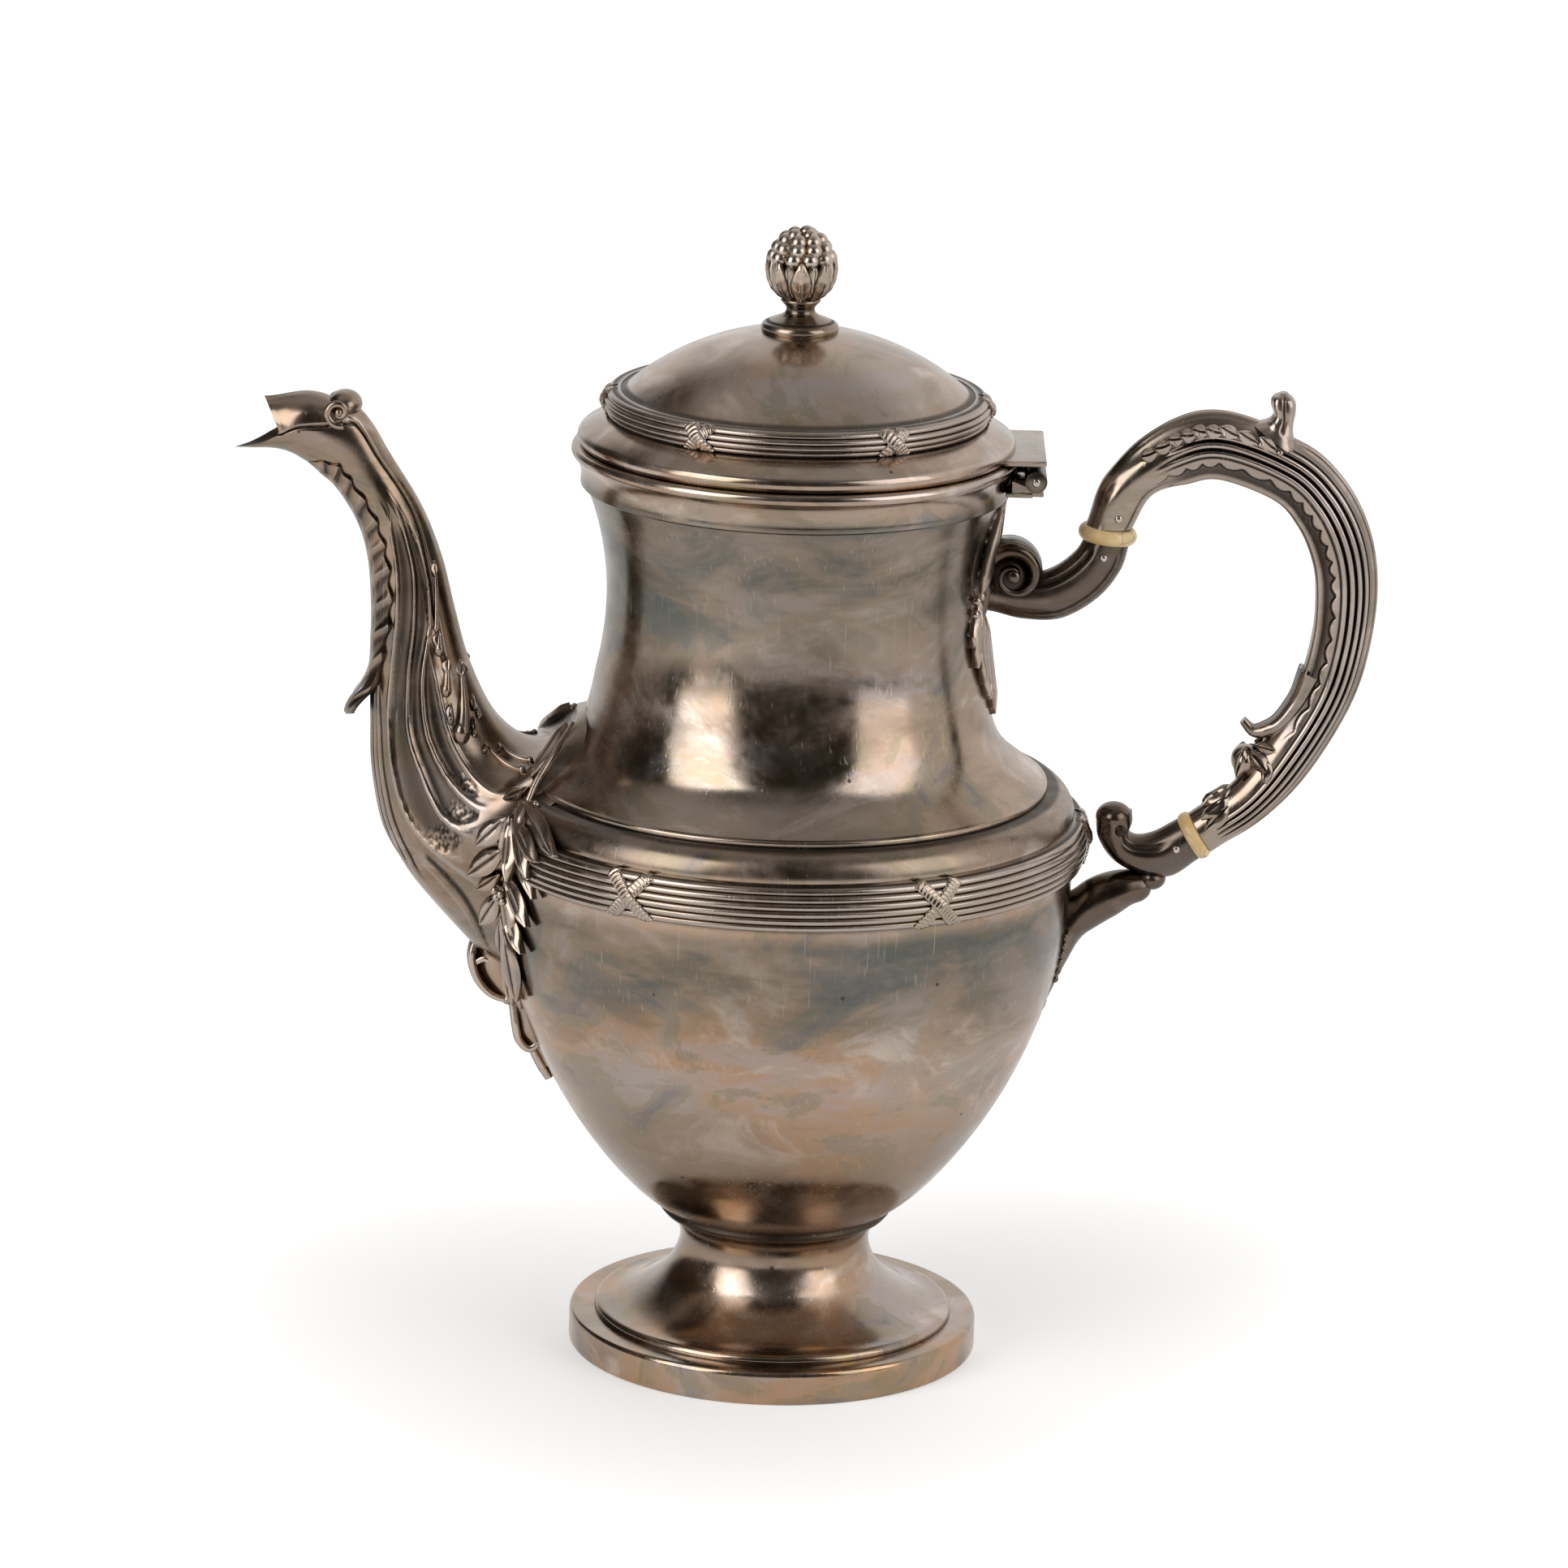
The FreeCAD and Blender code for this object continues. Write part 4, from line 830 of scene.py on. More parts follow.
# a leaf from base to tip: pointed outline, crowned blade with a sunk midrib and slanting veins, closed below
def leaf(base, tip, normal, half, crown=0.7, curl=0.0, fat=0.42, deep=0.8, veins=0, count=(22, 20)):
    base, tip = np.asarray(base, float), np.asarray(tip, float)
    run = tip - base
    side = unit(np.cross(np.asarray(normal, float), run))
    rise = unit(np.cross(run, side))
    s = np.linspace(0, 1, count[0])[:, None]
    ring = ringAngles(count[1])
    w, top = np.cos(ring), np.sin(ring)
    outline = np.sin(math.pi * np.clip(s, 0.015, 0.985) ** (math.log(0.5) / math.log(fat))) ** 0.85
    blade = crown * (1 - w**2) - 0.55 * crown * np.exp(-((w / 0.16) ** 2)) * ease(0.0, 0.15, s)
    mark = -0.9 * np.exp(-((w / 0.14) ** 2)) + 0.75 * hump(np.abs(w), 0.45, 0.35)
    if veins:
        vein = np.cos(2 * math.pi * (veins * s + 1.2 * np.abs(w)))
        blade = blade + 0.12 * crown * vein
        mark = mark + 0.35 * vein
    height = np.where(top >= 0, blade * np.minimum(1, outline * 1.5), -deep * np.abs(top)) + curl * s**3
    grid = (base + run * s[..., None] + side * (half * outline * w)[..., None] + rise * height[..., None])
    mark = np.where(top >= 0, mark, -0.6) + 0 * s
    return tube(grid, np.clip(mark, -1, 1))


# rings of a round wire along a path: its radius along two directions square to the run
def wireRings(path, out, other, size, ring):
    a, b = np.cos(ring)[None, :, None], np.sin(ring)[None, :, None]
    return path[:, None] + size[:, None, None] * (a * out[:, None] + b * other)


# a round stem along points, its thickness running between two radii
def stem(points, thick, count=60, sides=14):
    path = smoothRows(points, count)
    run = unit(np.gradient(path, axis=0))
    out = unit(np.cross(run, np.array([0.3, 1.0, 0.2])))
    other = np.cross(run, out)[:, None]
    return tube(wireRings(path, out, other, np.linspace(*thick, count), ringAngles(sides)), 0.3)


# a flat ribbon that follows a path in the upright plane, rounded in section, with fine lines along it
def ribbonAlong(path, halfWidth, thick, lines, count=90, sides=28):
    path = smoothRows(np.insert(np.asarray(path, float), 1, 0.0, axis=1), count)
    side = np.array([0, 1.0, 0])
    out = np.cross(unit(np.gradient(path, axis=0)), side)
    ring = ringAngles(sides)
    w = np.sign(np.cos(ring)) * np.abs(np.cos(ring)) ** 0.6
    h = np.sign(np.sin(ring)) * np.abs(np.sin(ring)) ** 0.7
    wave = np.cos(math.pi * lines * w)
    share = np.linspace(0, 1, count)
    broad, fat = (np.interp(share, np.linspace(0, 1, len(k)), k)[:, None] for k in (halfWidth, thick))
    flat = path[:, None] + (broad * w)[..., None] * side
    grid = flat + (fat * h * (1 + 0.12 * wave))[..., None] * out[:, None]
    mark = 0.6 * hump(np.abs(w), 0.95, 0.25) - 0.35 + 0.5 * wave
    return tube(grid, mark + 0 * share[:, None])


# a path that winds in from a radius to an eye
def spiral(middle, radius, turns, start, eye=0.12, count=40):
    t = np.linspace(0, 1, count)
    a = math.radians(start) - 2 * math.pi * turns * t
    r = radius * (1 - (1 - eye) * t)
    return np.stack([middle[0] + r * np.cos(a), middle[1] + r * np.sin(a)], -1)


# a pin along y with domed ends: its radius is a power of the sine, its reach a power of the cosine
def domedPin(place, radius, thin, shank, dome, bend, count, relief):
    a = np.linspace(0, math.pi, count[0])[1:-1]
    reach = np.sign(np.cos(a)) * (shank + dome * np.abs(np.cos(a)) ** bend)
    grid = turned(np.stack([radius * np.sin(a) ** thin, reach], -1), count[1])
    return tube(np.stack([grid[..., 0] + place[0], grid[..., 2], grid[..., 1] + place[1]], -1), relief)


# spout: rows give the outer edge out and up, the inner edge out and up, and the half depth,
# out from the bowl's side and up from its widest level
spout = {
    "rows": [
        (-14.0, -29.0, -38.0, 31.0, 23.0), (-1.0, -27.0, -25.5, 33.5, 23.0), (16.4, -10.3, -18.0, 31.2, 21.5),
        (24.1, 2.4, -12.6, 24.4, 18.5), (27.2, 15.9, -6.3, 23.4, 15.0), (27.7, 28.4, 1.2, 29.4, 12.0),
        (27.9, 40.9, 6.9, 40.9, 9.8), (27.8, 52.4, 10.2, 52.4, 8.3), (28.7, 63.4, 13.2, 63.9, 7.2),
        (31.1, 71.4, 17.7, 74.9, 6.4), (35.4, 78.4, 24.5, 85.9, 6.1), (39.2, 81.9, 30.2, 94.7, 6.2),
        (44.8, 85.3, 37.7, 98.5, 6.3),
    ],
    "mouth": [(0, 58.4, 0.0, 86.7), (30, 55.0, 2.6, 87.5), (60, 51.3, 4.7, 89.2), (84, 48.6, 5.4, 91.0),
              (120, 49.6, 4.8, 94.2), (150, 51.0, 2.9, 97.0), (180, 52.0, 0.0, 98.2)],
    "mouthRow": 14.4,
    "wall": 1.2,
    "ridges": [
        [(1.62, 59.5), (2.17, 55.5), (2.73, 51.5), (3.43, 46.0), (4.28, 44.0), (5.2, 46.0), (6.0, 56.0),
         (6.85, 65.5), (7.62, 73.0), (8.38, 79.0), (9.2, 89.0)],
        [(2.2, 76.0), (3.0, 72.5), (3.98, 70.5), (4.98, 67.5), (5.78, 75.5), (6.88, 91.0), (7.75, 100.5),
         (8.5, 104.5), (9.3, 111.5)],
        [(2.5, 93.0), (3.35, 90.5), (4.05, 87.0), (5.0, 85.0), (5.78, 92.0), (6.85, 113.5), (7.62, 122.5)],
        [(2.55, 105.0), (3.93, 104.0), (4.67, 104.0), (5.28, 106.5), (5.78, 109.0)],
    ],
    "fluteEnds": [1.95, 2.3, 3.0],
    "fluteDepth": 1.0,
    "reeds": [(7.0, 2.6), (15.0, 2.5), (23.0, 2.3), (31.0, 2.0)],
    "crease": [(6.2, 124.0), (7.1, 124.0), (8.0, 129.0), (9.2, 139.0), (10.4, 134.0), (11.2, 137.0)],
    "jaw": [(11.1, 142.0), (11.6, 118.0), (12.1, 100.0), (12.8, 88.0), (14.4, 84.0)],
    "panel": [(1.2, 24.0), (1.45, 38.5), (1.62, 43.5), (1.93, 46.0), (2.45, 44.5)],
    "mouthMiddle": (47.0, 91.5),
    "stipple": 7,
}
# the same rows in the pot's frame
spoutRows = [(-bowl["radius"] - a, wide + b, -bowl["radius"] - c, wide + d, half)
             for a, b, c, d, half in spout["rows"]]

# laurel: a stem down the joint of spout and bowl, leaves from base to tip with half widths, berries, and
# the lift and depth of the leaves that lie on the bowl and of those that lie on the spout
laurel = {
    "stem": [
        (-46.8, -6.8, 141.6), (-50.9, -16.2, 136.6), (-54.1, -19.8, 131.7), (-56.4, -22.8, 125.7),
        (-59.0, -23.0, 117.2), (-59.9, -21.8, 111.0), (-60.1, -20.6, 106.3), (-59.0, -19.6, 101.2),
        (-58.4, -17.6, 93.5), (-57.5, -12.4, 84.0), (-56.8, -5.0, 76.7),
    ],
    "leaves": [
        (-54.6, -19.9, 131.0, -60.1, -20.3, 128.1, 0.9), (-57.5, -22.3, 124.7, -65.8, -20.9, 117.5, 1.7),
        (-59.0, -22.9, 117.7, -67.5, -19.2, 110.4, 1.8), (-60.4, -21.6, 111.6, -65.3, -19.1, 107.3, 1.2),
        (-60.6, -20.3, 106.4, -64.6, -15.6, 98.5, 1.7), (-56.8, -23.6, 124.8, -52.3, -34.8, 110.0, 2.0),
        (-56.6, -23.1, 125.3, -59.3, -22.4, 114.7, 1.6), (-55.8, -25.1, 125.3, -52.3, -36.6, 115.4, 1.9),
        (-54.6, -21.1, 128.4, -45.9, -42.8, 122.6, 2.4), (-55.1, -21.0, 128.5, -53.7, -28.1, 124.9, 1.4),
        (-58.9, -22.3, 111.9, -53.2, -31.8, 102.9, 1.8), (-59.0, -20.1, 104.0, -54.2, -28.0, 95.7, 1.7),
        (-59.4, -19.1, 101.3, -59.4, -14.8, 91.0, 1.3), (-57.9, -20.4, 97.7, -54.6, -18.6, 82.3, 1.7),
        (-56.3, -24.3, 125.0, -55.9, -29.1, 112.4, 1.8), (-55.7, -25.9, 124.9, -49.8, -38.4, 119.8, 1.8),
        (-54.2, -18.7, 133.1, -47.0, -7.0, 141.8, 1.4), (-58.2, -16.0, 91.0, -55.6, -10.6, 79.0, 1.4),
        (-60.0, -21.6, 108.0, -56.6, -25.0, 97.6, 1.7),
    ],
    "berries": [(-60.7, -21.0, 107.4), (-61.6, -20.4, 106.6), (-60.2, -21.4, 105.9), (-53.4, -24.6, 128.6),
                (-62.0, -19.6, 107.8)],
    "berryRadius": 0.95,
    "berryShift": (-0.4, -2.6, 0),
    "broaden": 1.45,
    "onBowl": (0.9, 1.6),
    "onSpout": (1.7, 2.0),
}


# smooth lookup of a line drawn on the spout: its angle at each row, nought strength beyond its ends
def lineAt(line, u, fade=0.25):
    keys = np.array([p[0] for p in line])
    angle = blendRows(keys, np.array([p[1] for p in line], float), np.clip(u, keys[0], keys[-1]))
    return angle, ease(keys[0] - fade, keys[0] + fade, u) * ease(keys[-1] + fade, keys[-1] - fade, u)


# radius of the vessel's skin at a height
def vesselRadius(z):
    profile = np.concatenate([bowlProfile(0), shoulderProfile(0), neckProfile()])
    order = np.argsort(profile[:, 1])
    return np.interp(z, profile[order, 1], profile[order, 0])


# moves points that lie inside the vessel out into its wall
def seatInWall(points, depth=0.5):
    radius = np.hypot(points[..., 0], points[..., 1])
    least = vesselRadius(points[..., 2]) - depth
    grow = np.where(radius < least, least / np.maximum(radius, 1.0), 1.0)
    return points * np.stack([grow, grow, np.ones_like(grow)], -1)


# draws the spout's skin into the vessel's wall where it runs past the laurel's stem
def tuckPastStem(points, depth=0.5):
    line = np.array(laurel["stem"])[::-1]
    edge = np.interp(points[..., 2], line[:, 2], line[:, 0])
    past = ease(edge + 0.6, edge + 3.2, points[..., 0]) * (points[..., 2] > line[0, 2])
    radius = np.hypot(points[..., 0], points[..., 1])
    most = np.minimum(radius, vesselRadius(points[..., 2]) - depth)
    shrink = 1 + past * (most / np.maximum(radius, 1.0) - 1)
    return points * np.stack([shrink, shrink, np.ones_like(shrink)], -1)


# how far the spout's skin rises or sinks at a row and angle, and its mark: flutes between the ridges with
# stippled ends, the ridges, the reeds, the crease, the jaw and the edge of the panel
def spoutRelief(u, turn):
    rise = np.zeros(np.broadcast(u, turn).shape)
    mark = np.zeros_like(rise)
    lines = [lineAt(line, u, 0.3) for line in spout["ridges"]]
    stipple = np.random.default_rng(spout["stipple"]).uniform(-1, 1, rise.shape)
    for (a, thereA), (b, thereB), end in zip(lines, lines[1:], spout["fluteEnds"]):
        there = ease(end - 0.05, end + 0.5, u) * np.minimum(ease(9.4, 8.4, u), np.maximum(thereA, thereB))
        half = np.maximum((b - a) / 2 - 2.2, 1.0)
        off = (turn - (a + b) / 2) / (half * np.maximum(there, 0.03) ** 0.5)
        dip = np.sqrt(np.maximum(0.0, 1 - off**2)) * there
        rise -= spout["fluteDepth"] * dip * np.minimum(half / 6.0, 1.0)
        mark -= 0.60 * np.where(np.abs(off) < 1, 0.5 + 0.5 * dip, 0.0) * there
        ground = np.where(np.abs(off) < 0.9, 1.0, 0.0)
        ground = ground * ease(end + 0.05, end + 0.3, u) * ease(end + 1.1, end + 0.6, u)
        rise += 0.07 * ground * stipple
        mark += 0.55 * ground * stipple
    for angle, there in lines:
        rise += 0.28 * hump(turn, angle, 3.4) * there
        mark += 1.1 * hump(turn, angle, 2.6) * there
    for angle, end in spout["reeds"]:
        there = ease(end - 0.12, end + 0.5, u) * ease(6.2, 5.4, u)
        half = 3.7 * np.maximum(there, 0.05) ** 0.6
        rise += 0.6 * np.sqrt(np.maximum(0.0, 1 - ((turn - angle) / half) ** 2)) * there
        mark += (0.9 * hump(turn, angle, 2.4) - 1.0 * hump(np.abs(turn - angle), half, 1.7)) * there
    angle, there = lineAt(spout["crease"], u, 0.5)
    rise -= 0.7 * hump(turn, angle, 5.0) * there
    mark += (-1.0 * hump(turn, angle - 0.5, 5.5) + 0.6 * hump(turn, angle + 8.0, 5.0)) * there
    angle, there = lineAt(spout["jaw"], u, 0.3)
    cheek = ease(angle - 3, angle + 3, turn) * ease(angle + 70, angle + 20, turn)
    rise += 0.45 * (cheek - hump(turn, angle - 4, 5.0)) * there
    mark += (-0.8 * hump(turn, angle - 4, 5.5) + 0.6 * hump(turn, angle + 5, 5.0)) * there
    angle, there = lineAt(spout["panel"], u, 0.12)
    rise += 0.5 * ease(angle + 2, angle - 2, turn) * there * ease(angle - 40, angle - 10, turn)
    mark += (-0.8 * hump(turn, angle + 2.5, 4.0) + 0.7 * hump(turn, angle - 3.0, 3.0)) * there
    return rise, np.clip(mark, -1, 1)


# one wall of the spout, moved in by an inset: smooth rows of ovals that end in the ring of the beaked mouth
def spoutWall(turn, half, inset, count):
    mouth = np.array(spout["mouth"], float)
    row = blendRows(mouth[:, 0], mouth[:, 1:], half)
    side = np.where(turn > 180, -1.0, 1.0)
    ring = np.stack([-bowl["radius"] - row[:, 0], -side * row[:, 1], wide + row[:, 2]], -1)
    x, z = spout["mouthMiddle"]
    middle = np.array([-bowl["radius"] - x, 0.0, wide + z])
    keys = np.concatenate([np.linspace(0.4, 12.0, 59), [spout["mouthRow"]]])
    body = limbPoint(spoutRows, keys[:-1, None], turn[None, :], -inset)
    end = ring + unit(middle - ring) * inset * 0.55 + np.array([inset * 0.25, 0, 0])
    u = np.linspace(keys[0], keys[-1], count)
    rows = np.concatenate([body.reshape(len(body), -1), end.reshape(1, -1)])
    return u[:, None], blendRows(keys, rows, u).reshape(len(u), len(turn), 3)


# the closed skin of the spout: outside from root to mouth, raised along its normals, then the channel back
def spoutSkin():
    turn, half = limbTurns(240)
    u, outside = spoutWall(turn, half, 0.0, 230)
    uInside, inside = spoutWall(turn, half, spout["wall"], 60)
    rise, mark = spoutRelief(u, half[None, :])
    across = np.roll(outside, -1, 1) - np.roll(outside, 1, 1)
    normal = unit(np.cross(np.gradient(outside, axis=0), across))
    heart = outside.mean(1, keepdims=True)
    normal *= np.sign(np.einsum("ijk,ijk->ij", normal, outside - heart))[..., None]
    outside = tuckPastStem(seatInWall(outside + normal * rise[..., None]))
    inside = tuckPastStem(seatInWall(inside[::-1], 0.9), 0.9)
    channel = -0.75 * ease(3.0, 4.5, uInside[::-1]) + np.zeros(inside.shape[:2])
    return skin(np.concatenate([outside, inside]), True, True, relief=np.concatenate([mark, channel]))


# front leaf: half its spread in degrees by row of the spout
frontLeaf = {
    "halfTurn": [(5.0, 6.0), (5.35, 24.0), (5.8, 37.0), (6.3, 45.0), (6.7, 53.0), (7.1, 59.0), (8.0, 63.0),
                 (10.0, 65.0), (11.1, 56.0), (11.6, 30.0)],
    "lobes": 1.75,
    "curl": 5.6,
}


# the long leaf down the front of the spout: edges turn over in slanting folds by a cosine, its tip curls away
def spoutLeaf():
    u = np.linspace(5.02, 11.6, 190)[:, None]
    ring = ringAngles(72)
    w, top = np.sign(np.cos(ring)) * np.abs(np.cos(ring)) ** 0.8, np.sin(ring)
    spread = np.array(frontLeaf["halfTurn"])
    phase = 2 * math.pi * frontLeaf["lobes"] * (u - 5.0)
    slant = phase - 7.5 * np.abs(w)
    fold = np.cos(slant) + 0.35 * np.cos(2 * slant + 1.1)
    half = blendRows(spread[:, 0], spread[:, 1], u) * (1 + 0.05 * np.cos(phase - 6.4))
    edge = ease(0.34, 0.66, np.abs(w))
    body = 0.30 + 0.45 * (1 - w**2) + edge * (0.45 + 0.24 * fold)
    body = body * ease(11.7, 10.9, u) - 0.45 * np.exp(-((w / 0.1) ** 2)) * ease(5.2, 6.0, u)
    away = frontLeaf["curl"] * ease(6.3, 5.0, u) ** 2.2
    lift = np.where(top >= 0, body, -0.7) + away * (1 - 0.15 * np.abs(w))
    mark = edge * (0.5 * fold - 0.15) - 0.8 * hump(np.abs(w), 0.40, 0.08) + 0.15 * (1 - edge)
    mark = np.where(top >= 0, mark, -0.9)
    return tube(limbPoint(spoutRows, u, half * w, lift), np.clip(mark, -1, 1) + 0 * u)


# husks down the inner side of the spout, drops that swell to a round end: two rows and angles, end radius
husks = [(8.0, 143.0, 6.75, 121.0, 0.75), (6.7, 124.5, 6.35, 120.0, 1.35), (6.2, 130.0, 5.62, 116.0, 1.3),
         (5.4, 116.5, 5.1, 110.5, 1.0), (6.1, 150.0, 4.8, 115.0, 2.1), (5.5, 148.0, 5.08, 143.0, 0.8),
         (5.1, 135.0, 4.75, 126.5, 0.85), (4.5, 131.0, 3.0, 128.0, 0.9), (4.4, 142.0, 3.2, 140.0, 0.8)]


# each husk is a stem that swells along the spout's skin, an egg at its end and a small leaf at its start
def huskChain():
    skins = []
    f = np.linspace(0, 1, 6)
    for u0, p0, u1, p1, end in husks:
        path = [limbPlace(spoutRows, u0 + (u1 - u0) * k, p0 + (p1 - p0) * k, 0.05) for k in f]
        line = [here + out * 0.35 * end * k for (here, out), k in zip(path, f)]
        skins.append(stem(line, (0.3, 0.8 * end), 40))
        here, out = path[-1]
        skins.append(ball(here + out * 0.15 * end, (0.9 * end, 0.9 * end, end * 1.25), relief=0.3))
        tip, _ = limbPlace(spoutRows, u0 - 0.3, p0 - 9.0, 0.05)
        skins.append(leaf(path[0][0], tip + out * 0.5, out, 0.6 * end + 0.3, 0.6, 0.2, 0.5))
    return skins


# the head: a scroll on each side behind the mouth, joined by a rolled knob on top
head = {
    "place": (-98.4, 208.6), "radius": 3.0, "wire": 0.95, "halfWidth": 5.3, "turns": 1.25, "start": -70.0,
    "eye": 0.14, "knob": (3.7, 5.2, 3.0), "knobShift": (1.1, 1.0),
}


# a round wire on a spiral in the upright plane at y, thinning to a button at its eye
def sideScroll(y, count=90):
    x, z = head["place"]
    path = spiral(head["place"], head["radius"], head["turns"], head["start"], head["eye"], count)
    path = np.insert(path, 1, y, axis=1)
    side = np.array([0, 1.0, 0])
    out = np.cross(unit(np.gradient(path, axis=0)), side)
    ring = ringAngles(16)
    grid = wireRings(path, out, side, head["wire"] * (1 - 0.45 * np.linspace(0, 1, count)), ring)
    mark = 0.6 * np.sin(ring)[None, :] * np.sign(y) - 0.5 * np.abs(np.cos(ring))[None, :]
    return [tube(grid, mark), ball((x, y, z), (head["wire"],) * 3)]


# both scrolls and the knob over them
def spoutHead():
    x, z = head["place"]
    right, up = head["knobShift"]
    knob = ball((x + right, 0, z + up), head["knob"], count=(20, 32), relief=0.1)
    return sideScroll(-head["halfWidth"]) + sideScroll(head["halfWidth"]) + [knob]


spoutSkins = [spoutSkin()] + bothSides(huskChain()) + spoutHead()
makePiece("spout", spoutSkins, "spout", finish["cast"], 55)
makePiece("spoutLeaf", [spoutLeaf()], "spout_leaf", finish["cast"], 55)
print("spout done")


# one spray: the stem, leaves that face away from the vessel or the spout that they lie on, and berries
def laurelSpray():
    skins = [stem(np.array(laurel["stem"]) + (0, -0.7, 0), (0.8, 0.6))]
    for place in laurel["leaves"]:
        base, tip = seatInWall(np.array([place[:3], place[3:6]]), -1.0)
        if level["bandLow"] - 1 < tip[2] < level["bandHigh"] + 1 and tip[1] < -26:
            tip = seatInWall(tip, -3.6)  # over the belly band
        onBowl = tip[1] < -24
        out = unit(unit((base + tip) / 2 * (1, 1, 0)) + ((0, -0.25, 0.1) if onBowl else (0.1, -0.9, 0.1)))
        lift, deep = laurel["onBowl" if onBowl else "onSpout"]
        half = laurel["broaden"] * place[6]
        skins.append(leaf(base + out * lift, tip + out * lift, out, half, 1.0, 0.3, 0.52, deep))
    for place in laurel["berries"]:
        skins.append(ball(np.array(place) + laurel["berryShift"], (laurel["berryRadius"],) * 3, relief=0.6))
    return skins


makePiece("laurelSprays", bothSides(laurelSpray()), "laurel_sprays", finish["chased"], 55)
print("laurel done")

# handle grip, x and z in millimetres: outer edge, inner edge, half depth
grip = {
    "rows": [
        (62.9, 187.7, 72.8, 186.7, 5.0), (67.2, 199.2, 77.0, 194.4, 5.4), (79.9, 210.2, 84.5, 197.3, 5.8),
        (92.0, 212.9, 91.5, 198.4, 6.0), (108.5, 207.0, 103.0, 194.3, 6.0), (117.9, 199.1, 108.3, 188.8, 6.0),
        (123.9, 188.4, 111.6, 182.0, 6.0), (126.2, 176.0, 113.0, 175.0, 6.0),
        (125.1, 161.6, 112.8, 164.5, 5.9), (121.4, 148.6, 110.0, 153.0, 5.8),
        (113.2, 133.7, 103.5, 141.0, 5.6), (104.5, 123.7, 97.2, 131.0, 5.3), (93.1, 115.1, 87.9, 123.6, 5.0),
    ],
    "reeds": [(6.0, 9.0, 3.9), (50.0, 7.0, 3.7), (65.0, 7.0, 2.4), (80.0, 7.0, 1.9), (95.0, 6.5, 1.6)],
    "panel": (28.0, 15.0),
    "thumb": [
        (97.6, 211.2, 109.0, 203.2, 5.2), (100.9, 211.9, 107.0, 207.8, 4.5),
        (102.2, 213.2, 106.7, 210.8, 3.8), (101.6, 215.3, 107.1, 213.7, 3.7),
        (101.9, 216.9, 106.8, 216.2, 3.2), (103.5, 217.8, 105.2, 217.8, 1.6),
    ],
    "scallop": 111.0,
    "curl": [(113.0, 156.0), (109.5, 148.5), (105.0, 143.6), (101.0, 142.6), (98.6, 144.8)],
    "curlWidth": (5.0, 4.6, 4.0, 3.0, 1.2),
    "curlThick": (2.6, 2.0, 1.7, 1.4, 0.8),
    "endLeaves": [(11.3, 120.0, 11.9, 96.0, 1.9), (11.2, 140.0, 11.85, 128.0, 2.0),
                  (11.1, 160.0, 11.7, 160.0, 2.2), (10.2, 128.0, 10.55, 96.0, 1.5)],
    "bud": ((99.4, 0, 136.0), (3.0, 4.4, 3.4)),
    "budLeaves": [
        ((100.5, -3.2, 138.6), (104.8, -5.4, 134.0), (-0.2, -1, 0.1), 1.8, 1.1),
        ((99.2, -3.0, 139.2), (97.6, -3.6, 132.6), (-0.5, -1, 0.0), 1.7, 1.1),
        ((101.5, -2.0, 139.6), (106.5, -4.6, 139.0), (0.0, -1, 0.3), 1.6, 1.0),
    ],
    "garland": {"leaves": 9, "first": 1.75, "step": 0.25, "turn": 60.0, "half": 1.6, "bead": 0.75},
}


# half-round reeds, a sunk panel between them, scallops along the inner side and a hollow near the top
def gripRelief(u, turn):
    rise = np.zeros(np.broadcast(u, turn).shape)
    mark = np.zeros_like(rise)
    for place, half, first in grip["reeds"]:
        there = ease(first - 0.3, first + 0.5, u) * ease(11.9, 11.2, u)
        off = np.abs(turn - place)
        rise += (0.9 * np.sqrt(np.maximum(0, 1 - (off / half) ** 2)) - 0.55) * there * (off < half + 1)
        mark += (0.95 * hump(turn, place, half * 0.7) - 1.2 * hump(off, half + 0.3, 4.4)) * there
    middle, half = grip["panel"]
    there = ease(3.5, 4.2, u) * ease(11.9, 11.0, u)
    rise -= 0.4 * hump(turn, middle, half) * there
    mark -= 0.45 * hump(turn, middle + 4.0, half * 0.8) * there
    s = u * 11.5
    edge = grip["scallop"] + 11.0 * np.abs(np.sin(math.pi * s / 4.8)) ** 0.8
    there = ease(1.2, 2.2, u) * ease(10.0, 9.2, u)
    inner = ease(edge - 1.5, edge + 2.5, turn) * ease(152, 144, turn)
    rise += (-0.55 * inner + 0.35 * hump(turn, 158.0, 12.0)) * there
    rim = 0.7 * hump(turn, edge - 3.5, 3.5) - 0.95 * hump(turn, edge + 1.5, 5.0)
    mark += (rim - 0.6 * inner + 0.6 * hump(turn, 158.0, 10.0)) * there
    top = ease(1.0, 1.6, u) * ease(3.9, 3.5, u)
    rise += (-0.5 * hump(turn, 40.0, 24.0) + 0.5 * hump(turn, 8.0, 14.0)) * top
    mark += (-0.55 * hump(turn, 40.0, 24.0) + 0.5 * hump(turn, 8.0, 10.0)) * top
    return rise, np.clip(mark, -1, 1)


# the thumb scroll carries a groove up its side between rounded edges
def thumbRelief(u, turn):
    there = ease(0.6, 1.2, u) * ease(4.8, 4.2, u)
    off = np.abs(turn - 90)
    rise = 0.3 * hump(off, 40, 26) - 0.35 * hump(turn, 90, 15)
    mark = 0.7 * hump(off, 36, 22) - 0.9 * hump(turn, 90, 14)
    return rise * there, mark * there


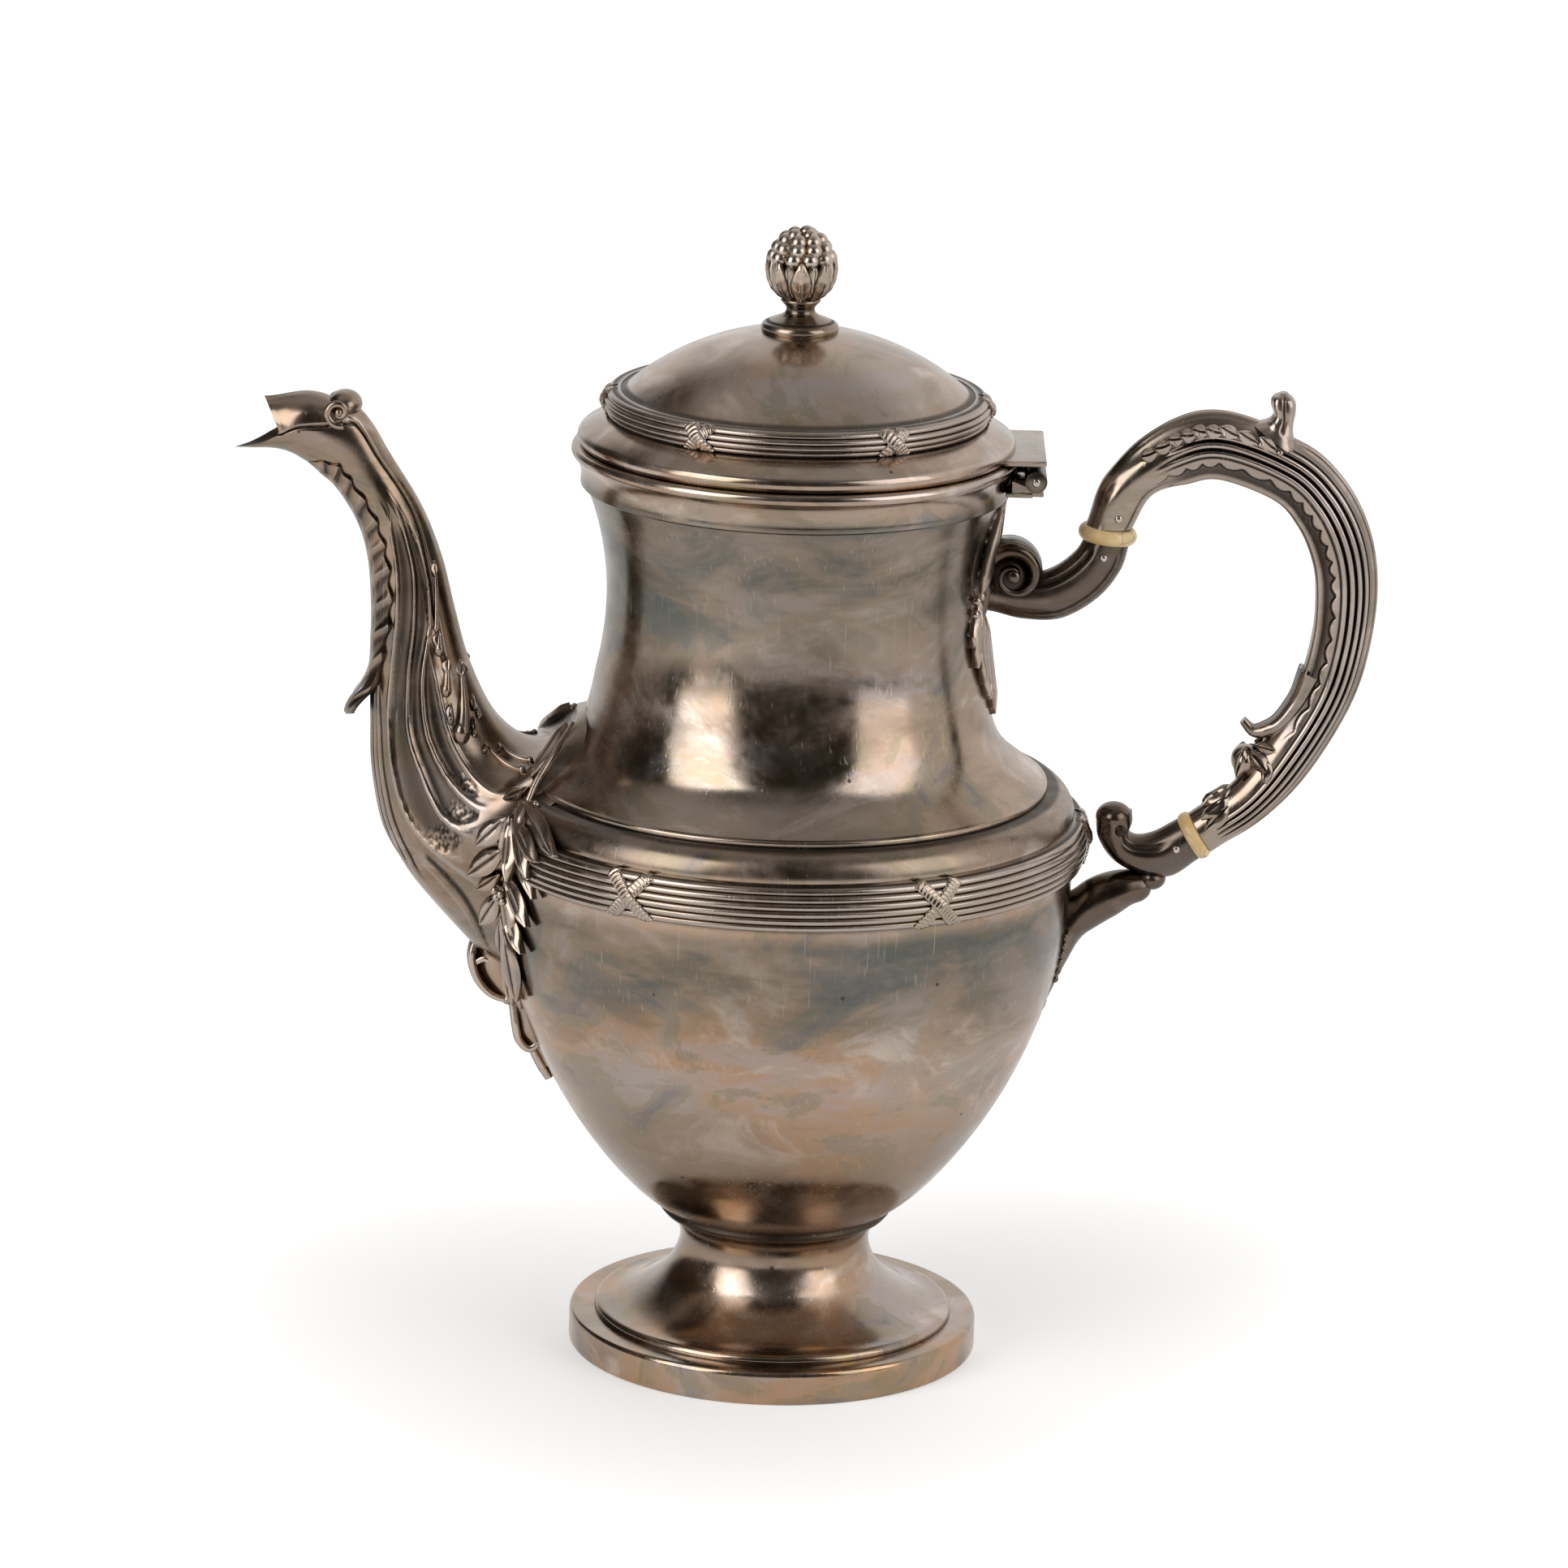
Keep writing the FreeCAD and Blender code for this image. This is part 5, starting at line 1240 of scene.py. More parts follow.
# a row of small leaves with beads below the top, larger in its middle, and leaves round the lower end
def gripLeaves():
    rows = grip["rows"]
    skins = []
    row = grip["garland"]
    for k in range(row["leaves"]):
        u = row["first"] + row["step"] * k
        size = 0.30 + 0.10 * math.sin(math.pi * k / (row["leaves"] - 1))
        here, out = limbPlace(rows, u, row["turn"], 0.03)
        tip, _ = limbPlace(rows, u - size, row["turn"] - 12 + 4 * (k % 2), 0.03)
        skins.append(leaf(here - out * 0.2, tip + out * 0.6, out, row["half"], 0.9, 0.4, 0.55))
        skins.append(ball(here + out * 0.25, (row["bead"],) * 3))
    for u, phi, u1, phi1, half in grip["endLeaves"]:
        here, out = limbPlace(rows, u, phi, 0.03)
        tip, _ = limbPlace(rows, u1, phi1, 0.03)
        skins.append(leaf(here - out * 0.2, tip + out * 0.3, out, half, 1.0, 0.2, 0.5))
    return skins


# the reeded limb, the thumb scroll on it, a ribbon that curls inward, and a bud with its leaves
def handleGrip():
    thumb = limb(grip["thumb"], 70, thumbRelief, 72)
    curl = ribbonAlong(grip["curl"], grip["curlWidth"], grip["curlThick"], 3)
    bud = ball(*grip["bud"], count=(18, 24), relief=0.1)
    budLeaves = [leaf(*place, 0.2, 0.45, 1.5) for place in grip["budLeaves"]]
    return [limb(grip["rows"], 330, gripRelief), thumb, curl, bud] + bothSides(gripLeaves() + budLeaves)


makePiece("handleGrip", handleGrip(), "handle_grip", finish["grip"], 55)

# ivory rings between the grip and its sockets: node, place, lean and radius, and the spigot that they share
rings = {
    "upperInsulator": ("upper_insulator", (67.7, 185.6), 6.0, 6.4),
    "lowerInsulator": ("lower_insulator", (89.1, 118.5), 58.5, 5.6),
}
spigot = {"radius": 3.0, "length": 5.0, "ringHalf": 1.6}


# an outline of spigot, ring with a round rim and spigot, turned about its own axis, leaned and put in place
def ivoryRing(place, lean, radius):
    half, r = spigot["ringHalf"], spigot["radius"]
    end = half + spigot["length"]
    rim = arc((radius - 0.9, -half), (radius, 0), (radius - 0.9, half), 13)
    outline = np.concatenate([[(0.05, -end), (r, -end), (r, -half), (radius - 1.6, -half)], rim,
                              [(radius - 1.6, half), (r, half), (r, end), (0.05, end)]])
    c, s = math.cos(math.radians(lean)), math.sin(math.radians(lean))
    grid = turned(outline, 72) @ np.array([[c, 0, -s], [0, 1, 0], [s, 0, c]]) + (place[0], 0, place[1])
    return tube(grid, -0.9 * hump(outline[:, :1], radius - 1.7, 0.8))


for name, (node, place, lean, radius) in rings.items():
    makePiece(name, [ivoryRing(place, lean, radius)], node, finish["ivory"], 50)

# pins through the sockets: a shank across with a domed head on each side
pins = {
    "places": [(69.7, 189.9), (66.8, 181.2), (85.1, 116.5), (93.0, 121.7)],
    "head": 0.9,
    "shank": 4.35,
    "dome": 1.2,
}


# a short pin with a shallow dome on each end
def crossPin(place):
    return domedPin(place, pins["head"], 0.8, pins["shank"], pins["dome"], 0.5, (24, 24), 0.8)


pinSkins = [crossPin(place) for place in pins["places"]]
makePiece("crossPins", pinSkins, "cross_pins", finish["pin"], 60)
print("grip, rings and pins done")

# upper socket: a curved tube from the ring to the neck, with a wide volute over its root
upperSocket = {
    "rows": [
        (62.6, 184.5, 72.5, 183.5, 5.0), (60.9, 181.6, 70.8, 177.6, 5.1), (57.2, 178.4, 66.2, 171.4, 5.1),
        (53.0, 176.6, 58.5, 166.6, 5.0), (47.5, 175.8, 50.2, 166.2, 4.6), (41.0, 176.6, 43.5, 167.6, 4.3),
        (35.5, 177.5, 35.5, 169.0, 4.0),
    ],
    "eye": (47.6, 176.4),
    "wind": (6.9, 1.55, 205.0),
    "tail": [(40.6, 160.5), (40.3, 167.0)],
    "bandWidth": (3.2, 4.6, 5.6, 5.6, 5.4, 5.2, 5.0),
    "bandThick": (0.9, 1.7, 2.0, 1.8, 1.4, 1.0, 0.6),
    "button": (1.5, 0.9, 1.5),
    "buttonSide": 4.9,
    "filling": (5.8, 4.7, 6.2),
    "fillingShift": (-1.2, -1.0),
}


# two grooves along the socket and a row of faint scales under it
def socketRelief(u, turn):
    there = ease(0.2, 0.8, u) * ease(4.6, 3.6, u)
    rise = (-0.45 * hump(turn, 52.0, 14.0) - 0.35 * hump(turn, 126.0, 9.0)) * there
    mark = (-0.8 * hump(turn, 52.0, 13.0) - 0.7 * hump(turn, 126.0, 9.0) + 0.5 * hump(turn, 30.0, 12.0)
            + 0.35 * np.cos(u * 16) * hump(turn, 146.0, 22.0)) * there
    return rise, np.clip(mark, -1, 1)


# the tube, a lined band that runs up the neck and winds into the volute, its filling, a button at each eye
def upperSocketPiece():
    x, z = upperSocket["eye"]
    path = np.concatenate([upperSocket["tail"], spiral((x, z), *upperSocket["wind"])])
    band = ribbonAlong(path, upperSocket["bandWidth"], upperSocket["bandThick"], 5, 150)
    buttons = [ball((x, side * upperSocket["buttonSide"], z), upperSocket["button"]) for side in (-1, 1)]
    right, up = upperSocket["fillingShift"]
    filling = ball((x + right, 0, z + up), upperSocket["filling"], count=(20, 32), relief=-0.55)
    return [limb(upperSocket["rows"], 90, socketRelief, 96), band, filling] + buttons


# a point on the vessel's skin, turned from the handle's side towards the viewer
def onVessel(turn, z, lift=0.0):
    radius, a = vesselRadius(z) + lift, math.radians(turn)
    return np.array([radius * math.cos(a), -radius * math.sin(a), z])


# the direction straight out of the vessel's skin there
def outOfVessel(turn, z):
    slope, a = vesselRadius(z + 0.5) - vesselRadius(z - 0.5), math.radians(turn)
    return unit(np.array([math.cos(a), -math.sin(a), -slope]))


# leaf mount on the neck: leaves from turn and height to turn and height with half widths, beads by turn and
# height, and the plate behind them by height and half width
mount = {
    "leaves": [
        (11.0, 192.6, 11.5, 173.0, 2.3), (6.0, 193.0, 6.0, 172.0, 2.3), (1.2, 193.0, 1.4, 174.0, 1.6),
        (13.5, 173.0, 17.6, 158.0, 2.3), (10.0, 171.0, 12.6, 153.5, 2.4), (6.5, 170.0, 8.2, 149.6, 2.4),
        (2.6, 168.0, 3.6, 146.8, 2.2), (15.5, 170.0, 19.0, 162.5, 1.5), (8.0, 160.0, 10.6, 150.6, 1.6),
    ],
    "middle": (168.0, 144.6),
    "beads": [(15.6, 172.4), (13.4, 171.2), (10.2, 172.6), (16.6, 169.6)],
    "plate": [(193.2, 8.4), (190.5, 9.6), (186.0, 9.0), (180.0, 8.4), (174.0, 10.6), (170.0, 12.4),
              (165.0, 13.0), (160.0, 11.0), (154.0, 7.6), (149.0, 4.2), (145.0, 0.9)],
}


# the plate follows the neck: half width by height, with ribs that fan out from its middle
def mountBack():
    places = np.array(mount["plate"])[::-1]
    z = np.linspace(places[0, 0], places[-1, 0], 90)[:, None]
    half = blendRows(places[:, 0], places[:, 1], z)
    half = half * (1 + 0.05 * np.cos(z * 1.9))
    a = np.linspace(-1, 1, 41)[None, :]
    rib = np.cos(a * 5.5 * math.pi) * ease(0.0, 0.3, 1 - np.abs(a))
    sheets = []
    for a2, lift in ((a, 0.85 + 0.22 * rib - 0.5 * ease(0.8, 1.0, np.abs(a))), (a[:, ::-1], -0.4 + 0 * a)):
        y = half * a2
        reach = vesselRadius(z) + lift
        sheets.append(np.stack([np.sqrt(np.maximum(reach**2 - y**2, 1.0)), y, z + 0 * y], -1))
    mark = np.concatenate([np.clip(0.6 * rib - 0.35, -1, 1) + 0 * z, -0.8 + 0 * a + 0 * z], 1)
    return skin(np.concatenate(sheets, 1), False, True, (True, True), mark)


# the plate, leaves and beads on both sides of it, and a long leaf down its middle
def leafMount():
    skins = []
    for t0, z0, t1, z1, half in mount["leaves"]:
        out = outOfVessel((t0 + t1) / 2, (z0 + z1) / 2)
        ends = onVessel(t0, z0, 1.0), onVessel(t1, z1, 1.0)
        skins.append(leaf(*ends, out, half, 0.9, 0.3, 0.6, 1.8, count=(36, 20)))
    skins += [ball(onVessel(t0, z0, 0.9), (1.1, 1.1, 1.1)) for t0, z0 in mount["beads"]]
    high, low = mount["middle"]
    ends = onVessel(0, high, 1.2), onVessel(0, low, 0.6)
    middle = leaf(*ends, outOfVessel(0, 155), 2.8, 1.2, 0.3, 0.5, 1.8, count=(36, 20))
    return [mountBack()] + bothSides(skins) + [middle]


makePiece("upperSocket", upperSocketPiece(), "upper_socket", finish["socket"], 55)
makePiece("leafMount", leafMount(), "leaf_mount", finish["chased"], 55)

# lower socket: from the ring it bends up into a blunt scroll with an eye on each side
lowerSocket = {
    "rows": [
        (85.1, 121.9, 90.4, 113.4, 5.0), (80.5, 119.2, 84.2, 109.2, 5.0), (77.0, 118.3, 77.2, 109.8, 4.8),
        (75.0, 119.2, 71.6, 112.6, 4.7), (75.6, 121.4, 68.3, 117.2, 4.7), (75.4, 123.8, 67.6, 121.0, 4.6),
    ],
    "eye": (72.9, 120.2),
    "eyeHalf": (1.3, 0.7, 1.3),
    "eyeSide": 4.6,
    "bulb": ((71.5, 0, 122.3), (4.0, 4.7, 3.2)),
    "swelling": ((80.2, 0, 108.6), (3.2, 3.8, 2.6)),
}


# one groove along each side with a raised edge
def lowerSocketRelief(u, turn):
    there = ease(0.4, 1.2, u) * ease(4.6, 3.6, u)
    groove = hump(turn, 60.0, 12.0) * there
    return -0.4 * groove, -0.7 * groove + 0.6 * hump(turn, 40.0, 10.0) * there


# the tube, the round of its scroll, an eye on each side and a swelling below
def lowerSocketPiece():
    x, z = lowerSocket["eye"]
    half, reach = lowerSocket["eyeHalf"], lowerSocket["eyeSide"]
    bulb = ball(*lowerSocket["bulb"], count=(18, 32), relief=0.1)
    eyes = [ball((x, side * reach, z), half, relief=-0.6) for side in (-1, 1)]
    swelling = ball(*lowerSocket["swelling"], count=(16, 24), relief=-0.2)
    return [limb(lowerSocket["rows"], 80, lowerSocketRelief, 96), bulb] + eyes + [swelling]


# lower bracket: a horn that widens from a small knob to the bowl, running out in a narrow tongue
bracket = {
    "rows": [
        (80.4, 107.2, 80.3, 106.0, 0.5), (80.1, 108.6, 79.8, 104.6, 2.2), (79.3, 109.6, 78.4, 103.4, 3.4),
        (77.4, 110.1, 76.0, 102.4, 4.2), (74.2, 110.2, 73.0, 100.2, 5.2), (70.2, 109.4, 69.0, 97.6, 5.7),
        (66.2, 107.6, 65.2, 94.6, 6.0), (62.6, 105.0, 62.2, 89.0, 6.4), (57.0, 103.0, 58.2, 80.0, 6.2),
    ],
    "tongue": (100.0, 67.6),
    "tongueHalf": 5.6,
    "beads": 6,
    "beadStart": (8.0, 97.0),
    "beadStep": (0.9, 2.2),
}


# a skin whose points are moved out of the vessel, as deep in its wall as stated
def seated(part, depth):
    return (seatInWall(part[0], depth),) + part[1:]


# the horn, a veined leaf for the tongue, and a row of beads down each side of it
def lowerBracketPiece():
    high, low = bracket["tongue"]
    ends = onVessel(0, high, 0.8), onVessel(0, low, 0.4)
    tongue = leaf(*ends, outOfVessel(0, 84), bracket["tongueHalf"], 1.3, 0.0, 0.3, 2.4, 9, (60, 24))
    skins = [seated(limb(bracket["rows"], 90, None, 72), 0.5), seated(tongue, 0.2)]
    turn, top = bracket["beadStart"]
    turnStep, drop = bracket["beadStep"]
    for side in (-1, 1):
        for k in range(bracket["beads"]):
            place = onVessel(side * (turn - turnStep * k), top - drop * k, 0.5)
            skins.append(ball(place, (0.8, 0.8, 0.9), count=(8, 12)))
    return skins


makePiece("lowerSocket", lowerSocketPiece(), "lower_socket", finish["socket"], 55)
makePiece("lowerBracket", lowerBracketPiece(), "lower_bracket", finish["socket"], 55)
print("sockets and brackets done")

# ribbon bow under the spout: folded loops seen edge on, a tail that lies on the bowl, the core behind them
bow = {
    "loops": [
        [(-64.5, 92.5), (-67.1, 90.4), (-67.9, 87.6), (-67.4, 84.3), (-65.8, 81.0), (-63.0, 78.5),
         (-60.2, 77.8), (-58.4, 80.2)],
        [(-66.9, 86.0), (-65.3, 86.8), (-62.8, 85.8), (-60.3, 83.1), (-59.0, 85.1), (-60.5, 88.5)],
        [(-58.9, 77.4), (-58.4, 74.4), (-57.9, 71.2), (-57.0, 68.0), (-55.0, 66.3), (-53.4, 67.2),
         (-54.4, 70.8), (-56.2, 74.2)],
        [(-54.6, 66.9), (-52.9, 63.4), (-51.4, 60.6), (-50.5, 59.0)],
    ],
    "halfWidth": [(3.2, 4.5, 4.6, 4.4, 3.4), (4.0, 4.6, 4.4, 3.4), (3.0, 3.8, 3.8, 3.4, 2.6),
                  (2.6, 2.8, 2.4, 1.4)],
    "thick": (1.05, 1.15, 1.15, 0.95),
    "core": [
        (-66.9, 89.0, -56.0, 93.0, 4.9), (-66.6, 84.0, -56.0, 86.0, 5.2), (-63.4, 79.6, -55.0, 81.0, 5.2),
        (-58.6, 75.6, -53.0, 76.0, 4.4), (-57.2, 69.6, -51.6, 70.0, 4.0), (-54.4, 66.4, -50.5, 66.6, 3.2),
        (-52.2, 62.0, -49.0, 62.4, 2.2),
    ],
    "coreShade": -0.30,
    "knot": ((-59.9, 0, 77.6), (1.8, 4.4, 1.8)),
}


# the core is plain and a little dark
def coreRelief(u, turn):
    return 0.0, bow["coreShade"] + 0 * turn


# ribbons along the loops, the knot and the core, all moved out of the vessel
def ribbonBow():
    loops = zip(bow["loops"], bow["halfWidth"])
    skins = [ribbonAlong(path, halfWidth, bow["thick"], 4, 110) for path, halfWidth in loops]
    skins.append(ball(*bow["knot"], count=(18, 26), relief=0.0))
    skins.append(limb(bow["core"], 70, coreRelief, 40))
    return [seated(part, 0.3) for part in skins]


makePiece("ribbonBow", ribbonBow(), "ribbon_bow", finish["chased"], 55)
print("bow done")


# a bar of one outline in the upright plane, drawn out from y0 to y1, its ends drawn in a little
def bar(outline, y0, y1, edge=0.3, relief=0.0):
    outline = np.asarray(outline, float)
    middle = outline.mean(0)
    reach = np.linalg.norm(outline - middle, axis=1).mean()
    y = np.array([y0, y0 + 0.3 * edge, y0 + edge, y1 - edge, y1 - 0.3 * edge, y1])
    shrink = 1 - np.array([1.0, 0.3, 0.0, 0.0, 0.3, 1.0]) * edge / reach
    flat = middle + (outline - middle) * shrink[:, None, None]
    return tube(np.stack([flat[..., 0], y[:, None] + 0 * flat[..., 0], flat[..., 1]], -1), relief)


# hinge: two outer barrels on the body, one on the lid under its plate, and a pin with domed ends
hinge = {
    "x": 51.4, "z": 199.8, "radius": 2.4, "half": 15.4, "lidHalf": 6.4, "gap": 0.25, "pin": 1.0,
    "pinShank": 14.6, "pinDome": 1.3, "lugStart": 46.2, "apronStart": 45.0, "plateStart": 43.4,
    "plate": (203.3, 204.5),
}


# a barrel's round outline about the hinge's axis
def barrel(steps=40):
    a = ringAngles(steps)
    return np.stack([hinge["x"] + hinge["radius"] * np.cos(a), hinge["z"] + hinge["radius"] * np.sin(a)], -1)


# on each side a barrel and the lug that carries it, and an apron across under both
def hingeBody():
    x, z, start, low = hinge["x"], hinge["z"], hinge["lugStart"], hinge["apronStart"]
    nose = [(x + 1.8, z - 3.2), (x + 1.5, z - 1.6), (x + 0.6, z + 0.4)]
    lug = rounded([(start, z - 3.2), *nose, (start, z + 0.4)], 0.4)
    skins = []
    for side in (-1, 1):
        y0, y1 = sorted((side * (hinge["lidHalf"] + hinge["gap"]), side * hinge["half"]))
        skins.append(bar(barrel(), y0, y1, 0.35, -0.5))
        skins.append(bar(lug, y0 + 0.3, y1 - 0.3))
    apron = rounded([(low, z - 3.4), (x - 0.6, z - 3.4), (x - 0.6, z - 2.4), (low, z - 2.4)], 0.3)
    return skins + [bar(apron, -hinge["half"], hinge["half"])]


# the plate over the hinge, the web under it and the middle barrel
def hingeLid():
    x, z, start, half = hinge["x"], hinge["z"], hinge["plateStart"], hinge["lidHalf"]
    low, high = hinge["plate"]
    plate = rounded([(start, low), (x + 2.1, low), (x + 2.1, high), (start, high)], 0.35)
    web = rounded([(x - 2.0, z + 1.0), (x + 1.9, z + 1.0), (x + 1.9, low + 0.3), (x - 2.0, low + 0.3)], 0.4)
    return [bar(fine(plate, 1.5), -hinge["half"], hinge["half"], 0.4, 0.1), bar(web, -half, half),
            bar(barrel(), -half, half, 0.35)]


# one long pin through all three barrels
def hingePin():
    place = hinge["x"], hinge["z"]
    return [domedPin(place, hinge["pin"], 0.5, hinge["pinShank"], hinge["pinDome"], 0.6, (30, 28), 0.7)]


makePiece("hingeBody", hingeBody(), "hinge_body_leaf", finish["cast"], 35)
makePiece("hingeLid", hingeLid(), "hinge_lid_leaf", finish["band"], 35)
makePiece("hingePin", hingePin(), "hinge_pin", finish["pin"], 60)

# finial: a turned foot, then a bud of leaves and berries; t runs from the bud's base to its top
finial = {
    "base": 8.4, "waist": 3.0, "seat": 4.3, "low": 235.4, "tall": 14.6, "radius": 6.3, "leaves": 8,
    "berryRows": [(0.625, 10), (0.755, 9), (0.87, 7), (0.95, 4), (0.992, 1)], "berry": 1.95,
    "smallBerry": 1.7,
    "outerLeaf": (0.34, 1.78, 24.0, 0.35, 0.55),
    "innerLeaf": (0.34, 1.80, 21.0, 0.0, 0.45),
}


# a point of the bud at a turn and t, lifted outward: an egg, fuller low down
def budPoint(turn, t, lift):
    turn, t, lift = np.broadcast_arrays(np.radians(turn), t, lift)
    r = (finial["radius"] + lift) * np.sin(t) * (1 + 0.16 * np.cos(t))
    z = finial["low"] + finial["tall"] * (0.5 - 0.5 * np.cos(t)) - lift * np.cos(t)
    return np.stack([r * np.cos(turn), r * np.sin(turn), z], -1)


# the turned foot of the finial: its profile from the stud's end up, by radius and rise above the dome
def finialStem():
    top = level["domeTop"]
    b, w, s = finial["base"], finial["waist"], finial["seat"]
    line = [(0.05, -1.2), (b - 0.6, -1.2), (b - 0.1, -0.6), (b, 0.3), (b - 0.3, 1.1), (b - 1.2, 1.5),
            (b - 1.5, 1.7), (b - 2.4, 2.1), (w + 1.4, 2.7), (w + 0.3, 3.4), (w, 4.2), (w + 0.3, 4.9),
            (s - 0.5, 5.4), (s, 5.9), (s, 6.3), (s - 0.5, 6.8), (0.05, 7.2)]
    profile = rounded(np.array(line) + (0, top), 0.35, False, 4)
    rise = profile[:, 1:] - top
    dark = -0.8 * hump(rise, 1.6, 0.4) - 0.5 * hump(rise, 4.2, 1.2) + 0.5 * hump(rise, 0.5, 0.6)
    return [tube(turned(profile, 120), dark)]


# a bud leaf: outline widens then comes to a point; rise is highest along its middle rib and side veins slant
def budLeaf(turn, t0, t1, half, lift, fat):
    s = np.linspace(0.0, 1.0, 40)[:, None]
    a = np.linspace(-1, 1, 25)[None, :]
    taper = np.sqrt(np.maximum(1 - s**2.6, 0)) * (1 - 0.35 * ease(0.6, 1.0, s))
    spread = half * np.minimum(1.0, 0.45 + 1.5 * s) * taper + 0.4
    vein = np.cos((s * 5.0 - 0.9 * np.abs(a)) * 2 * math.pi)
    rib = np.exp(-((a * spread / 1.6) ** 2))
    rise = lift + fat * (1 - a**2) ** 0.5 + 0.28 * rib + 0.04 * vein * (1 - np.abs(a)) + 0.9 * fat * s**3
    mark = 0.9 * rib + 0.2 * vein - 0.3 - 0.9 * ease(0.7, 0.95, np.abs(a)) + 0.5 * s**2
    t = t0 + (t1 - t0) * s
    outer = budPoint(turn + a * spread, t, rise)
    inner = budPoint(turn + a[:, ::-1] * spread, t, lift - 0.5 + 0 * a)
    mark = np.concatenate([mark, -0.8 + 0 * mark], 1)
    return tube(np.concatenate([outer, inner], 1), np.clip(mark, -1, 1))


# a plain part of the bud between two values of t
def budCore(t0, t1, rows, sides, lift, relief):
    turn = np.linspace(0, 360, sides, endpoint=False)[None, :]
    return tube(budPoint(turn, np.linspace(t0, t1, rows)[:, None], lift), relief)


# two rows of leaves, the second between the first, round a dark cup
def finialLeaves():
    count = finial["leaves"]
    skins = []
    for k in range(count):
        turn = 360 * k / count
        skins.append(budLeaf(turn, *finial["outerLeaf"]))
        skins.append(budLeaf(turn + 180 / count, *finial["innerLeaf"]))
    return skins + [budCore(0.02, 1.45, 24, 64, -0.1, -0.8)]


# berries in rows by share of the bud's height, every second row shifted, each bright on its outer side
def finialBerries():
    skins = [budCore(0.9, math.pi - 0.02, 40, 72, -0.55, -0.9)]
    for row, (share, count) in enumerate(finial["berryRows"]):
        t = math.acos(1 - 2 * share)
        size = finial["berry"] if row < 3 else finial["smallBerry"]
        for k in range(count):
            turn = 360 * (k + 0.5 * (row % 2)) / count
            here = budPoint(turn, t, -0.25)
            out = unit(budPoint(turn, t, 1.0) - here)
            part = ball(here, (size, size, size), count=(14, 20))
            skins.append(part[:3] + (np.clip(((part[0] - here) @ out) / size * 1.5 - 0.6, -1, 1),))
    return skins


makePiece("finialStem", finialStem(), "finial_stem", finish["cast"], 40)
makePiece("finialLeafCup", finialLeaves(), "finial_leaf_cup", finish["chased"], 60)
makePiece("finialBerries", finialBerries(), "finial_berries", finish["chased"], 60)


# the nut under the dome: a hexagon's radius by angle, scaled row by row to its chamfered ends
def finialNut():
    box = nodeBox("finial_nut")
    low, high = box[0][2], box[1][2]
    a = ringAngles(48)
    six = np.cos(math.pi / 6) / np.cos((a + math.pi / 6) % (math.pi / 3) - math.pi / 6)
    reach = (box[1][0] - box[0][0]) / 2 * 0.99
    rows = np.array([(low, 0.82), (low + 0.25, 0.95), (low + 0.6, 1.0), (high - 0.4, 1.0), (high, 0.94)])
    r, z = reach * rows[:, 1:] * six, rows[:, :1]
    return [tube(np.stack([r * np.cos(a), r * np.sin(a), z + 0 * a], -1), 0.1)]


makePiece("finialNut", finialNut(), "finial_nut", finish["band"], 35)
print("hinge and finial done")

# camera: a long lens, a little above the pot, rolled as the photograph is
camera = {
    "target": (-0.00065, 0.0, 0.12743),
    "distance": 1.6655,
    "elevation": 15.28,
    "roll": 1.63,
    "focalPixels": 9413.9,
    "imagePixels": 1932,
    "sensor": 36.0,
    "clip": (0.05, 30.0),
}


# an object placed by three directions and a point, in metres
def placeObject(name, data, side, top, back, place):
    item = bpy.data.objects.new(name, data)
    item.matrix_world = Matrix([[side[k], top[k], back[k], place[k]] for k in range(3)] + [[0, 0, 0, 1]])
    scene.collection.objects.link(item)
    return item


# looks at the target from the distance and elevation, then rolls about its own axis
def setCamera():
    up, roll = math.radians(camera["elevation"]), math.radians(camera["roll"])
    back = np.array([0, -math.cos(up), math.sin(up)])
    across, rise = np.array([1.0, 0, 0]), np.array([0, math.sin(up), math.cos(up)])
    right = math.cos(roll) * across + math.sin(roll) * rise
    top = -math.sin(roll) * across + math.cos(roll) * rise
    data = bpy.data.cameras.new("camera")
    data.sensor_width = camera["sensor"]
    data.lens = camera["sensor"] * camera["focalPixels"] / camera["imagePixels"]
    data.clip_start, data.clip_end = camera["clip"]
    place = np.array(camera["target"]) + back * camera["distance"]
    scene.camera = placeObject("camera", data, right, top, back, place)


setCamera()

# studio: a pale table, two tall soft boxes to the front, a white surround behind and a dim front
studio = {
    "tableSize": 6.0,
    "tableColor": (0.86, 0.86, 0.86, 1),
    "tableRough": 0.7,
    "tableGlow": (0.33, 0.80),
    "glowReach": (0.05, 0.26),
    "tableSheen": 0.30,
    "boxSize": (1.0, 1.40),
    "boxDistance": 1.6,
    "boxAim": 0.13,
    "boxElevation": 27.0,
    "boxes": {"softBoxLeft": (-50.0, 15.5), "softBoxRight": (57.0, 9.8)},
    "white": (1, 1, 1, 1),
    "back": (0.95, 0.95, 0.95, 1),
    "front": (0.046, 0.040, 0.034, 1),
    "ceilingFront": (0.15, 0.145, 0.14, 1),
    "ceilingBack": (0.52, 0.51, 0.50, 1),
    "backLean": 0.78,
    "backEdge": (0.22, 0.64),
    "ceilingDepth": (-0.40, 0.15),
    "ceilingEdge": (0.62, 0.92),
}


